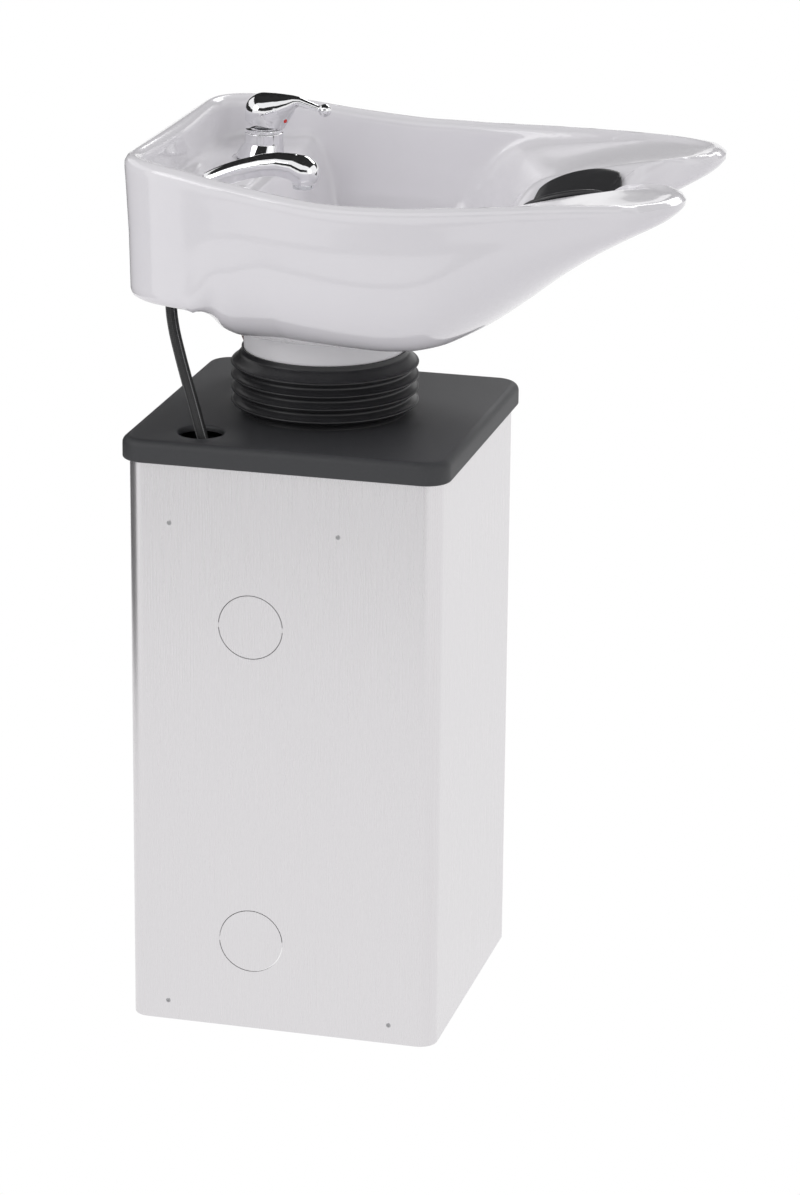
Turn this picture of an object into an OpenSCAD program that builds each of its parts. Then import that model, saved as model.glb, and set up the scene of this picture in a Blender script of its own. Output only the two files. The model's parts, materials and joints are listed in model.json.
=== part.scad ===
// Shampoo station: a tilting ceramic bowl with mixer and pull-out hand spray on a cased pedestal.
// Millimetres. +Z up, +X towards the neck notch, origin on the floor under the pedestal's centre.

/* [Pedestal] */
// Width and depth of the casing
casing_w = 350; // [320:5:400]
// Height of the casing above the floor
casing_h = 650; // [600:5:750]
// Outer radius of the casing's upright corners
casing_corner_r = 20; // [14:1:28]
// Thickness of the casing's sheet
casing_wall = 1.5; // [1:0.1:2]
// Thickness of the floor plate
floor_plate_t = 5; // [4:0.5:8]
// Distance between anchor holes, both ways
anchor_spacing = 220; // [180:5:240]
// Radius of an anchor hole
anchor_hole_r = 5.5; // [4:0.5:7]
// Radius of the service opening in the floor plate
service_hole_r = 86; // [84:1:95]
// Width of each leg of a corner post
post_leg = 62; // [58:1:70]
// Thickness of a corner post's sheet
post_t = 2.5; // [2:0.5:4]
// Thickness of the top plate
top_plate_t = 4; // [3:0.5:6]
// Radius of a knock-out disc's opening
knockout_r = 36.5; // [30:0.5:40]
// Sideways place of both knock-outs on the front face
knockout_x = -34.5; // [-60:0.5:60]
// Height of the lower knock-out's centre
knockout_low_z = 104.5; // [90:0.5:140]
// Height of the upper knock-out's centre
knockout_high_z = 472; // [400:1:500]
// Width of the seam round a knock-out
knockout_seam = 0.8; // [0.4:0.1:0.9]
// Width of a knock-out's side tab
knockout_tab = 5; // [3:0.5:8]
// Radius of a casing screw's head
casing_screw_head_r = 2.6; // [2:0.1:4]

/* [Cap] */
// How far the black top stands over the casing on each side
cap_over = 8; // [5:0.5:12]
// Thickness of the black top at its edge
cap_t = 25; // [20:1:32]
// Radius of the top's corners in plan
cap_corner_r = 28; // [22:1:36]
// Rounding of the top's upper edge
cap_edge_r = 9; // [5:1:11]
// Rounding of the top's lower edge
cap_lower_edge_r = 2; // [1:0.5:4]
// Thickness of the top's upper skin
cap_skin = 6; // [4:0.5:8]
// Width of the top's solid border
cap_border = 24; // [18:1:27]
// Radius of the top's opening under the bellows
column_hole_r = 86; // [84:0.5:87]
// Radius of each hose hole
hose_hole_r = 24.6; // [22:0.2:26]
// Distance of the hose holes' centres from the casing's rear face
hose_hole_inset_x = 72.3; // [71:0.1:73]
// Distance of each hose hole's centre from the casing's side face
hose_hole_inset_y = 44.6; // [44:0.1:46]

/* [Bellows] */
// Outer radius of a fold
bellows_crest_r = 103.5; // [100:0.5:108]
// Outer radius between folds
bellows_root_r = 95; // [94:0.5:98]
// Outer radius at the foot
bellows_foot_r = 92.3; // [91.8:0.1:94]
// Thickness of the rubber
bellows_wall = 1.8; // [1.2:0.1:2.2]
// Distance from one fold to the next
bellows_pitch = 14.3; // [12:0.1:15]
// Number of folds
bellows_folds = 4; // [3:1:4]
// Height of the first fold above the top
bellows_first = 11.3; // [9:0.1:13]

/* [Tilt bracket] */
// Height of the tilt axis above the casing
pivot_h = 55; // [50:1:60]
// Radius of a pivot bolt's shoulder
pivot_r = 6; // [5:0.5:7]
// Radial play of a pivot bolt
pivot_fit = 0.05; // [0.02:0.01:0.1]
// Wall of a pivot bush
bush_wall = 2; // [1.5:0.5:3]
// Thickness of a lower ear
lower_ear_t = 5; // [4:0.5:6]
// Distance from the middle to a lower ear
lower_ear_y = 48; // [47:0.5:50]
// Thickness of an upper ear
upper_ear_t = 6; // [5:0.5:7]
// Thickness of a friction washer
friction_washer_t = 1.6; // [1.2:0.1:1.8]
// Width of an ear
ear_w = 40; // [36:1:44]
// Thickness of the bracket plates
bracket_t = 5; // [4:0.5:6]

/* [Bowl] */
// Length from the rear wall to the horn tips
bowl_len = 600; // [580:5:620]
// Distance from the tilt axis back to the rear wall
bowl_rear = 181; // [174:1:186]
// Width of the bowl at its widest
bowl_w = 464; // [450:2:480]
// Height of the rim above the seat at its lowest
rim_h = 188; // [176:1:196]
// Rise of the rim towards the rear wall
rim_rise = 25; // [15:1:30]
// Height of the bowl's flat seat above the tilt axis
belly_h = 65; // [61:1:69]
// Radius of the flat seat under the bowl
seat_r = 93; // [91:1:96]
// Thickness of the ceramic in the basin's floor
floor_t = 17; // [14:1:20]
// Height of the tap deck above the seat
deck_h = 158; // [152:1:162]
// Thickness of the tap deck
deck_t = 14; // [12:1:18]
// Width of the rolled rim
rim_w = 21; // [17:1:25]
// Depth of the roll on the rim's outside
rim_roll = 9; // [6:1:11]
// How far the rim's lip stands out of the wall
lip_out = 4.5; // [2:0.5:6]
// Drop of the rim in the neck notch
neck_drop = 50; // [40:1:56]
// Depth of the neck groove below the shoulders
groove_depth = 42; // [34:1:48]
// Half width of the neck groove
groove_half_w = 72; // [64:1:80]
// Radius of the waste hole
waste_hole_r = 21; // [20.9:0.1:22]

/* [Collar] */
// Outer radius of the white collar
collar_r = 89.5; // [88:0.1:89.8]
// Wall of the collar
collar_wall = 3.8; // [3:0.1:5]
// Height of the collar's lower edge above the tilt axis
collar_drop = 13; // [11:1:16]

/* [Mixer] */
// Distance of the mixer behind the tilt axis
mixer_x = 99; // [97:1:102]
// Distance of the mixer to the side
mixer_y = 100; // [96:1:104]
// Radius of the mixer's body
mixer_r = 21.5; // [21:0.5:23]
// Height of the mixer's body above the deck
mixer_h = 30; // [28:1:34]
// Radius of the mixer's flared foot
mixer_foot_r = 27; // [25:1:29]
// Radius of the hole in the deck
mixer_hole_r = 17.5; // [17:0.5:18]
// Radius of the cartridge
cartridge_r = 17.5; // [17:0.1:18]
// Radius of the swivelling carrier
carrier_r = 11.9; // [11:0.1:12.2]
// Radius of the dome of the lever
lever_dome_r = 22; // [21:0.5:23]
// Radius of the ball at the lever's tip
lever_ball_r = 7.5; // [6:0.5:9]
// Reach of the lever from the mixer's axis to the ball
lever_reach = 70; // [60:1:80]

/* [Hand spray] */
// Radius of the spray's handle
spray_r = 11.5; // [10.5:0.5:12.5]
// Radius of the handle's long bow
spray_bow_r = 215; // [190:5:240]
// Slope of the handle at its lower end
spray_slope = 29; // [25:1:33]
// Slope of the handle at the head
spray_end_slope = 5; // [2:1:8]
// Radius of the spray head
spray_head_r = 13; // [12:0.5:14]
// Radius of the spray's outlet
nozzle_r = 11.2; // [10:0.1:12]

/* [Hoses] */
// Radius of the black spray hose
spray_hose_r = 6.3; // [5.5:0.1:6.4]
// Radius of a supply hose
supply_hose_r = 4.5; // [4:0.1:4.7]
// Inner radius of the drain hose
drain_hose_r = 21; // [21:0.1:21.2]
// Thickness of the drain hose between its ribs
drain_hose_wall = 1.5; // [1:0.1:2]
// Height of a rib of the drain hose
drain_rib_h = 2; // [1:0.1:2.4]
// Distance from one rib to the next
drain_rib_pitch = 7; // [6:0.5:9]

/* [Neck rest] */
// Thickness of the soft rest
rest_t = 12; // [9:1:14]
// Gap between the rest and the ceramic
rest_fit = 2.6; // [2.4:0.1:2.9]

/* [Hidden] */
$fn = 64;

// One overrun for every cut, and the gap between parts that lie beside each other
cut = 1;
fit = 0.3;

// Pedestal values
casing_in = casing_w/2 - casing_wall;
casing_in_r = casing_corner_r - casing_wall;
top_plate_z = casing_h - top_plate_t;
cap_w = casing_w + 2*cap_over;
cap_top = casing_h + cap_t;
hose_hole_x = casing_w/2 - hose_hole_inset_x;
hose_hole_y = casing_w/2 - hose_hole_inset_y;
hose_pass_play = 5;
hose_pass_r = hose_hole_r + hose_pass_play;
screw_inset_high_left = 49.3;
screw_inset_high_right = 111.6;
screw_inset_low_left = 44.1;
screw_inset_low_right = 50.9;
screw_high_drop = 67;
screw_low_z = 21.9;
casing_screw_head_h = 1;
screw_face_share = 0.7;
casing_screw_r = 1.6;
casing_screw_len = 9;
cap_screw_r = 2.5;
cap_screw_head_r = 4.6;
cap_screw_head_h = 3;
cap_screw_len = 14;
cap_screw_x = (casing_in + cap_w/2 - cap_border)/2;
cap_screw_y = casing_in - post_leg - 4*cap_screw_head_r;

// Bellows values
bellows_neck_play = 0.6;
bellows_neck_in_r = collar_r + bellows_neck_play;
bellows_foot_w = 4;
bellows_foot_in_r = bellows_foot_r - bellows_foot_w;
bellows_foot_t = 3;
bellows_cone_h = 12;
bellows_neck_h = 5;
last_crest_z = cap_top + bellows_first + (bellows_folds - 1)*bellows_pitch;

// Tilt bracket values
pivot_z = casing_h + pivot_h;
drain_pass_r = 37;
bush_r = pivot_r + pivot_fit + bush_wall;
washer_gap = 0.2;
upper_ear_y = lower_ear_y - friction_washer_t - 2*washer_gap - upper_ear_t;
lower_ear_out = lower_ear_y + lower_ear_t;
lower_base_rim = 7;
lower_base_x = drain_pass_r + lower_base_rim;
lower_base_y = 72;
lower_bolt_x = 22;
lower_bolt_y = 63;
upper_plate_x = 43;
upper_plate_y = upper_ear_y + upper_ear_t;
upper_plate_hole_r = 30.5;
upper_bolt_x = 34;
upper_bolt_y = 33;
upper_ear_r = 16;
lower_ear_r = ear_w/2;
bolt_r = 4;
bolt_play = 0.3;
bolt_head_r = 6.5;
bolt_head_h = 5;
stud_depth = 12;
stud_play = 0.05;
pivot_head_r = 10.5;
pivot_head_h = 7;
pivot_nut_h = 7;
washer_out_r = 14;
washer_play = 0.3;
bracket_top = casing_h + bracket_t;

// Bowl values
belly_z = pivot_z + belly_h;
rim_z = belly_z + rim_h;
rim_span = rim_h;
deck_z = belly_z + deck_h;
basin_z = belly_z + floor_t;
rim_in_drop = 8;
blend_soft = 18;
pocket_wall = 8;
pocket_rear_x = bowl_rear - lip_out - pocket_wall;
pocket_mouth_x = 106;
pocket_front_x = 74;
pocket_step_h = 70;
pocket_step_z = belly_z + pocket_step_h;
pocket_half_y = 148;
spot_face_r = 31;
spot_face_h = 16;
spot_play = 2.5;
shoulder_wrap = 60;
skirt_wrap = 30;
// Half of the rim's outline from the neck notch round to the rear: share of the length,
// share of the half width, share of the rim's rise, share of the neck's drop
outline_share = [
    [0.854, 0.000, 0.10, 1.00], [0.855, 0.080, 0.12, 0.84], [0.862, 0.152, 0.16, 0.50],
    [0.880, 0.210, 0.22, 0.20], [0.910, 0.248, 0.28, 0.05], [0.948, 0.282, 0.34, 0.00],
    [0.980, 0.348, 0.38, 0.00], [0.998, 0.440, 0.39, 0.00], [1.000, 0.530, 0.39, 0.00],
    [0.987, 0.640, 0.36, 0.00], [0.958, 0.715, 0.34, 0.00], [0.918, 0.766, 0.33, 0.00],
    [0.859, 0.808, 0.32, 0.00], [0.800, 0.845, 0.29, 0.00], [0.716, 0.897, 0.21, 0.00],
    [0.632, 0.944, 0.12, 0.00], [0.548, 0.978, 0.03, 0.00], [0.464, 0.998, 0.01, 0.00],
    [0.397, 0.996, 0.03, 0.00], [0.329, 0.980, 0.17, 0.00], [0.262, 0.956, 0.35, 0.00],
    [0.195, 0.932, 0.57, 0.00], [0.128, 0.900, 0.80, 0.00], [0.077, 0.858, 0.92, 0.00],
    [0.040, 0.806, 0.98, 0.00], [0.0134, 0.731, 1.00, 0.00], [0.0017, 0.637, 1.00, 0.00],
    [0.000, 0.495, 1.00, 0.00], [0.000, 0.323, 1.00, 0.00], [0.000, 0.155, 1.00, 0.00],
    [0.000, 0.000, 1.00, 0.00]];
// Height of the underside's middle line: share of the length, share of the rim's span
keel_share = [[0, 0.300], [0.10, 0.290], [0.12, 0.255], [0.135, 0.15], [0.15, 0.06],
    [0.165, 0.02], [0.19, 0], [0.464, 0], [0.523, 0.014], [0.575, 0.055],
    [0.615, 0.115], [0.662, 0.207], [0.724, 0.358], [0.792, 0.520], [0.876, 0.683],
    [0.960, 0.815], [1, 0.865]];
// Stretch next to the seat over which the underside leaves the seat's plane
seat_blend_share = 0.12;
// Rise of the underside from the seat out to the walls: share of the length, share of the span
belly_share = [[0, 0], [0.11, 0], [0.15, 0.22], [0.25, 0.24], [0.36, 0.20], [0.48, 0.14],
    [0.60, 0.08], [0.74, 0], [1, 0]];
// Squareness of the walls along the length
outer_curve_share = [[0, 24], [0.11, 16], [0.155, 6], [0.25, 4.5], [0.55, 4.2], [0.70, 3.2],
    [1, 3.2]];
inner_curve_share = [[0, 14], [0.15, 14], [0.20, 6], [0.26, 3.6], [0.60, 3.6], [0.72, 5], [1, 5]];
// Front edge of the tap deck: share of the length, share of the deck's height over the basin
deck_share = [[0, 1], [0.175, 1], [0.188, 0.97], [0.2015, 0.80], [0.215, 0.50], [0.232, 0.12],
    [0.2486, -0.20]];
// Shoulders on both sides of the neck groove: share of the length, share of the rim's span
shoulder_share = [[0.514, -0.25], [0.548, 0.04], [0.5815, 0.32], [0.615, 0.58], [0.640, 0.73],
    [0.666, 0.82], [0.691, 0.862], [0.721, 0.887], [0.795, 0.941], [0.842, 0.968],
    [0.884, 0.990], [0.955, 1.005], [1, 1.010]];
groove_share = [[0.60, 0], [0.67, 1]];
// Depth of the roll on the rim's inside, less at the horns
rim_dip_share = [[0, 1], [0.70, 1], [0.86, 0.2], [1, 0.2]];
// Where the roll starts to rise before the wall's upper end, and over what share of its width
roll_start_share = 0.3;
roll_rise_share = 0.5;
// Rings from the seat up the outside, and from the rim down the inside
outer_ring_share = [0, 0.12, 0.24, 0.36, 0.48, 0.60, 0.70, 0.79, 0.86, 0.91, 0.95, 0.975, 0.99];
inner_ring_share = [0.985, 0.95, 0.90, 0.84, 0.77, 0.70, 0.64, 0.59, 0.55, 0.515, 0.48, 0.445,
    0.40, 0.34, 0.26, 0.16];
// Middle of the step to the shoulders and of the step to the deck, and the widest ring between them
shoulder_step_share = 0.588;
deck_step_share = 0.217;
side_ring_share = 0.82;

// Waste values
waste_play = 0.2;
waste_tube_r = waste_hole_r - waste_play;
waste_tube_wall = 3;
waste_bore_r = waste_tube_r - waste_tube_wall;
waste_flange_r = 33;
waste_flange_t = 2.5;
waste_seal_t = 3;
waste_nut_h = 9;
waste_nut_r = 28;
waste_tail_len = 44;
waste_tail_z = belly_z - waste_tail_len;
strainer_play = 0.4;
strainer_r = waste_bore_r - strainer_play;
strainer_t = 2;
strainer_hole_r = 1.8;
strainer_hole_rings_share = [0.38, 0.76];
strainer_knob_r = 3.5;
strainer_knob_h = 5;
strainer_ledge = 1.6;
drain_hose_lap = 24;
drain_hose_top = waste_tail_z + drain_hose_lap;
trap_r = 35;
trap_top = 500;
trap_h = 100;
trap_wall = 3;
trap_inlet_h = 62;
trap_inlet_wall = 3;
trap_inlet_lap = 26;
drain_hose_bottom = trap_top + trap_inlet_h - trap_inlet_lap;
outlet_r = 20;
outlet_wall = 2.5;
outlet_bend_r = 27;
outlet_drop = 24;
outlet_end_z = 8;
clip_w = 9;
clip_t = 1;
clip_screw_r = 3.5;
clip_screw_len = 12;
clip_inset = 8;

// Mixer values
gasket_t = 1.5;
mixer_base_z = deck_z + gasket_t;
mixer_top = deck_z + mixer_h;
foot_offset = 4.5;
foot_t = 2;
foot_blend_h = 15;
cartridge_seat_h = 6;
cartridge_seat_z = mixer_base_z + cartridge_seat_h;
cartridge_play = 0.1;
ring_h = 3.7;
ring_gap = 0.3;
ring_inset = 0.8;
ring_r = mixer_r - ring_inset;
ring_slot_w = 3;
ring_slot_d = 1.2;
ring_slots = 12;
carrier_play = 0.06;
carrier_h = 19;
slot_rim = 2;
stem_w = 7;
stem_play = 0.3;
stem_pivot_drop = 6;
stem_pivot_z = mixer_top - stem_pivot_drop;
stem_h = 30;
stem_foot = 5;
lever_pin_r = 2;
lever_pin_play = 0.05;
lever_dome_h = 29;
lever_dome_z = stem_pivot_z + lever_dome_h;
lever_front_gap = 1.6;
lever_rear_rise = 8.5;
lever_arm_r = 4.6;
lever_neck_r = 11;
lever_ball_h = 34;
lever_ball_z = stem_pivot_z + lever_ball_h;
web_r = 7;
button_r = 4;
button_t = 1.6;
button_proud = 0.8;
button_h = 24;
button_z = stem_pivot_z + button_h;
button_x = 22.3;
stud_offset_y = 13.5;
mixer_stud_r = 3;
mixer_stud_len = 44;
clamp_r = 25;
clamp_hole_r = 13.5;
clamp_hole_shift = 6.5;
clamp_t = 3;
stud_nut_r = 5.6;
stud_nut_h = 5;

// Hand spray values, in the upright plane at the spray's side of the bowl
spray_y = -100;
spray_start_x = -102;
spray_start_h = 16;
spray_start_z = deck_z + spray_start_h;
hose_nut_len = 12;
hose_nut_r = 9.4;
hose_nut_play = 0.1;
hose_nut_bore_r = spray_hose_r + hose_nut_play;
mouth_x = spray_start_x - hose_nut_len*cos(spray_slope);
mouth_z = spray_start_z - hose_nut_len*sin(spray_slope);
holder_bend_r = 50;
holder_low_slope = 70;
holder_bore_slope = 100;
holder_bore_over_slope = 2;
holder_tube_r = 10.5;
holder_bore_r = 7;
holder_flange_r = 21;
holder_flange_t = 4;
holder_shank_r = 16.5;
holder_shank_drop = 12;
holder_shank_z = deck_z - deck_t - holder_shank_drop;
holder_x = -130;
holder_hole_r = 17;
holder_nut_r = 23;
holder_nut_h = 8;
handle_bore_len = 30;
bow_x = spray_start_x + spray_bow_r*sin(spray_slope);
bow_z = spray_start_z - spray_bow_r*cos(spray_slope);
bow_end_x = bow_x - spray_bow_r*sin(spray_end_slope);
bow_end_z = bow_z + spray_bow_r*cos(spray_end_slope);
head_reach = 19;
head_sink = 3;
nozzle_drop = 21;
nozzle_h = 4.5;
nozzle_jet_r = 0.9;
nozzle_jets = 8;
nozzle_jet_ring_share = 0.62;
lead_end_z = mouth_z - holder_bend_r*cos(spray_slope);

// Hose routes, each from the tap deck down into the pedestal. Rows at the bowl: place from the
// tilt axis, height over the bowl's seat. Rows in the casing: distance from its rear face, side,
// distance from that side's face, depth under the casing's top.
function at_bowl(rows) = [for (p = rows) [p[0], p[1], belly_z + p[2]]];
function in_casing(rows) = [for (p = rows)
    [p[0] - casing_w/2, p[1]*(casing_w/2 - p[2]), casing_h - p[3]]];
spray_hose_route = concat(
    at_bowl([[-138, -100, 124], [-139, -100, 98], [-143, -100, 68], [-145, -101, 38],
        [-140, -108, 13], [-131, -116, -13], [-121, -124, -39], [-111, -131, -65]]),
    in_casing([[74, -1, 37, -28], [82, -1, 36, 0], [85, -1, 40, 50], [85, -1, 45, 110],
        [85, -1, 45, 200], [85, -1, 49, 270], [85, -1, 69, 340], [85, -1, 113, 385],
        [85, 0, 0, 400], [85, 1, 113, 385], [85, 1, 69, 340], [85, 1, 49, 270],
        [85, 1, 45, 200], [85, 1, 45, 90], [84, 1, 44, 10], [82, 1, 45, -25]]),
    at_bowl([[-104, 122, -55], [-115, 114, -10], [-124, 108, 35], [-122, 104, 70],
        [-108, 102, 100], [-97, 106, 120], [-93, 107, 138], [-93, 107, 159]]));
hose_end_z = 74;
hose_nut_z = 58;
hose_low_z = 200;
hose_straight_z = 110;
hot_inlet_x = -45;
hot_inlet_y = 45;
cold_inlet_x = -20;
cold_inlet_y = 68;
hot_hose_route = concat(
    at_bowl([[-104, 101, 159], [-104, 101, 138], [-108, 97, 120], [-115, 92, 98],
        [-124, 89, 70], [-129, 91, 30], [-129, 98, -8], [-125, 108, -45]]),
    in_casing([[60, 1, 57, -45], [67, 1, 53, -20], [71, 1, 53, 10], [85, 1, 70, 90],
        [115, 1, 110, 250]]),
    [[hot_inlet_x, hot_inlet_y, hose_low_z], [hot_inlet_x, hot_inlet_y, hose_straight_z],
        [hot_inlet_x, hot_inlet_y, hose_end_z]]);
cold_hose_route = concat(
    at_bowl([[-104, 111, 159], [-104, 111, 138], [-110, 113, 118], [-119, 115, 96],
        [-130, 117, 70], [-138, 118, 30], [-137, 120, -8], [-131, 124, -45]]),
    in_casing([[55, 1, 43, -45], [62, 1, 38, -20], [65, 1, 38, 10], [75, 1, 57, 90],
        [105, 1, 92, 250]]),
    [[cold_inlet_x, cold_inlet_y, hose_low_z], [cold_inlet_x, cold_inlet_y, hose_straight_z],
        [cold_inlet_x, cold_inlet_y, hose_end_z]]);
hose_sides = 10;
supply_sides = 8;
route_steps = 2;
supply_nut_r = 11;
supply_nut_bore_r = 7.5;
supply_nut_bore_len = 11;

// Neck rest values: shares of the bowl's length and of the groove's half width
rest_rear_share = 0.662;
rest_front_share = 0.844;
rest_side_share = 0.82;
rest_corner_share = 0.34;
rest_cells_x = 14;
rest_cells_y = 18;
rest_edge_t = 2;

function smax(a, b, k) = (a + b + sqrt((a - b)*(a - b) + k*k))/2;
function wall_curve(u, n) = 1 - pow(max(0, 1 - pow(min(u, 1), n)), 1/n);
function len_share(x) = (x + bowl_rear)/bowl_len;

// The rim's outline as points, all the way round
half_rim = [for (p = outline_share)
    [p[0]*bowl_len - bowl_rear, p[1]*bowl_w/2, rim_z + p[2]*rim_rise - p[3]*neck_drop]];
half_count = len(half_rim);
rim = concat(half_rim,
    [for (i = [half_count - 2:-1:1]) [half_rim[i][0], -half_rim[i][1], half_rim[i][2]]]);
rim_count = len(rim);
function reach(p) = sqrt(p[0]*p[0] + p[1]*p[1]);
rim_reach_table = [for (p = half_rim) [atan2(p[1], p[0]), reach(p)]];
rim_top_table = [for (p = half_rim) [atan2(p[1], p[0]), p[2]]];

// Height of the basin's floor, tap deck and shoulders before the walls are added
function under_x(x, y) = x < 0 ? x - skirt_wrap*pow(2*y/bowl_w, 2) : x;
function keel_z(x, y, u) = belly_z
    + min(1, u/seat_blend_share)*lookup(len_share(under_x(x, y)), keel_share)*rim_span
    + u*lookup(len_share(under_x(x, y)), belly_share)*rim_span;
function basin_floor(x) = basin_z + (x > 0 ? lookup(len_share(x), keel_share)*rim_span : 0);
function deck_level(x) = basin_z + lookup(len_share(x), deck_share)*(deck_z - basin_z);
function groove(x, y) = groove_depth*lookup(len_share(x), groove_share)
    *(1 + cos(180*min(abs(y)/groove_half_w, 1)))/2;
function shoulder_x(x, y) = x + shoulder_wrap*pow(2*y/bowl_w, 2);
function shoulder(x, y) = belly_z + lookup(len_share(shoulder_x(x, y)), shoulder_share)*rim_span
    - groove(x, y);
function floor_at(x, y) = smax(smax(basin_floor(x), deck_level(x), blend_soft), shoulder(x, y), blend_soft);
function rim_dip(x) = rim_in_drop*lookup(len_share(x), rim_dip_share);
// Height of the bowl's inside at share u of the way from the axis to the rim's inner edge
function inner_z(x, y, u, top) = let (base = floor_at(x, y))
    base + (top - rim_dip(x) - base)*wall_curve(u, lookup(len_share(x), inner_curve_share));
function roll_rise(x, past) = rim_dip(x)
    *sin(90*min(1, max(0, past/rim_w + roll_start_share)/roll_rise_share));
function inside_z(x, y) = let (turn = abs(atan2(y, x)), far = lookup(turn, rim_reach_table) - rim_w,
    r = reach([x, y]))
    inner_z(x, y, r/far, lookup(turn, rim_top_table)) + roll_rise(x, r - far);
function outer_z(x, y, u, top) = let (low = keel_z(x, y, u))
    low + (top - low)*wall_curve(u, lookup(len_share(under_x(x, y)), outer_curve_share));

// One ring of points: outside, lip, roll and inside
function at_reach(p, r, z) = [p[0]*r/reach(p), p[1]*r/reach(p), z];
function outer_point(p, u) = let (r = seat_r + u*(reach(p) - lip_out - seat_r), q = at_reach(p, r, 0))
    at_reach(p, r, outer_z(q[0], q[1], u, p[2] - rim_roll));
function lip_point(p, out_share, up_share) = let (low = outer_point(p, outer_ring_share[12])[2])
    at_reach(p, reach(p) - lip_out*(1 - out_share), low + (p[2] - rim_roll - low)*up_share);
function roll_point(p, in_share, drop) = at_reach(p, reach(p) - rim_w*in_share, p[2] - drop);
function step_reach(p) = let (far = reach(p) - rim_w, cx = p[0]/reach(p), cy = p[1]/reach(p),
    wrap = shoulder_wrap*pow(2*cy/bowl_w, 2),
    step_front = shoulder_step_share*bowl_len - bowl_rear,
    step_rear = bowl_rear - deck_step_share*bowl_len,
    to_front = 2*step_front/(cx + sqrt(cx*cx + 4*wrap*step_front)))
    min(side_ring_share*far, cx > 0 ? to_front : step_rear/max(-cx, step_rear/far));
function inner_point(p, v) = let (far = reach(p) - rim_w, step = step_reach(p),
    r = v < 0.5 ? 2*v*step : step + (2*v - 1)*(far - step), q = at_reach(p, r, 0))
    at_reach(p, r, inner_z(q[0], q[1], r/far, p[2]));
bowl_rings = concat(
    [for (u = outer_ring_share) [for (p = rim) outer_point(p, u)]],
    [[for (p = rim) lip_point(p, 0, 0.45)], [for (p = rim) lip_point(p, 0.6, 0.8)],
     [for (p = rim) lip_point(p, 1, 1)], [for (p = rim) roll_point(p, 0.07, rim_roll*0.5)],
     [for (p = rim) roll_point(p, 0.25, rim_roll*0.12)], [for (p = rim) roll_point(p, 0.5, 0)],
     [for (p = rim) roll_point(p, 0.78, rim_dip(p[0])*0.25)],
     [for (p = rim) roll_point(p, 1, rim_dip(p[0]))]],
    [for (u = inner_ring_share) [for (p = rim) inner_point(p, u)]]);

function flat_list(rings) = [for (ring = rings) for (p = ring) p];
// Triangles between neighbouring rings, seen clockwise from outside
function ring_faces(rings, n) = [for (k = [0:rings - 2]) for (j = [0:n - 1]) for (half = [0, 1])
    let (a = k*n + j, b = k*n + (j + 1)%n, c = b + n, d = a + n) half == 0 ? [a, d, c] : [a, c, b]];

module bowl_skin() {
    rings = len(bowl_rings);
    last = (rings - 1)*rim_count;
    points = concat(flat_list(bowl_rings), [[0, 0, basin_z]]);
    closing = [for (j = [0:rim_count - 1]) [last + j, rings*rim_count, last + (j + 1)%rim_count]];
    polyhedron(points = points,
        faces = concat([[for (j = [0:rim_count - 1]) j]], ring_faces(rings, rim_count), closing));
}

// A tube swept along a smooth curve through a route's points
function route_point(route, i) = route[min(max(i, 0), len(route) - 1)];
function curve_point(route, i, t) = let (a = route_point(route, i - 1), b = route_point(route, i),
    c = route_point(route, i + 1), d = route_point(route, i + 2))
    0.5*(2*b + (c - a)*t + (2*a - 5*b + 4*c - d)*t*t + (3*b - a - 3*c + d)*t*t*t);
function smooth_route(route) = concat(
    [for (i = [0:len(route) - 2]) for (s = [0:route_steps - 1]) curve_point(route, i, s/route_steps)],
    [route[len(route) - 1]]);
function unit(v) = v/norm(v);
function heading(line, i) = unit(line[min(i + 1, len(line) - 1)] - line[max(i - 1, 0)]);
module hose(route, r, sides) {
    swept_tube(smooth_route(route), r, sides);
}
module swept_tube(line, r, sides) {
    rings = [for (i = [0:len(line) - 1])
        let (along = heading(line, i), across = unit(cross(along, [1, 0, 0])), up = cross(across, along))
        [for (s = [0:sides - 1]) line[i] + r*(cos(360*s/sides)*across - sin(360*s/sides)*up)]];
    last = (len(line) - 1)*sides;
    polyhedron(points = flat_list(rings), faces = concat([[for (s = [0:sides - 1]) s]],
        ring_faces(len(line), sides), [[for (s = [sides - 1:-1:0]) last + s]]));
}

module rounded_square(half, r) {
    square([2*half - 2*r, 2*half], center = true);
    square([2*half, 2*half - 2*r], center = true);
    for (x = [-1, 1], y = [-1, 1]) translate([x*(half - r), y*(half - r)]) circle(r);
}
module at_corners(x, y) {
    for (i = [-1, 1], j = [-1, 1]) translate([i*x, j*y, 0]) children();
}
module both_sides() {
    for (s = [0, 1]) mirror([0, s, 0]) children();
}
module tube(r, inner_r, h) {
    difference() {
        cylinder(r = r, h = h);
        translate([0, 0, -cut]) cylinder(r = inner_r, h = h + 2*cut);
    }
}
// Turns a solid drawn up along Z so that it points to +Y
module along_y() {
    rotate([-90, 0, 0]) children();
}

module floor_plate() {
    color("dimgray") difference() {
        linear_extrude(floor_plate_t) rounded_square(casing_in - fit, casing_in_r - fit);
        translate([0, 0, -cut]) cylinder(r = service_hole_r, h = floor_plate_t + 2*cut);
        at_corners(anchor_spacing/2, anchor_spacing/2)
            translate([0, 0, -cut]) cylinder(r = anchor_hole_r, h = floor_plate_t + 2*cut);
    }
}

module corner_posts() {
    post_h = top_plate_z - floor_plate_t;
    color("dimgray") translate([0, 0, floor_plate_t]) difference() {
        intersection() {
            linear_extrude(post_h) difference() {
                rounded_square(casing_in, casing_in_r);
                rounded_square(casing_in - post_t, casing_in_r - post_t);
            }
            at_corners(casing_in - post_leg/2, casing_in - post_leg/2)
                translate([-post_leg/2, -post_leg/2, 0]) cube([post_leg, post_leg, post_h]);
        }
        translate([0, 0, -floor_plate_t]) screw_holes();
    }
}

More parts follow.
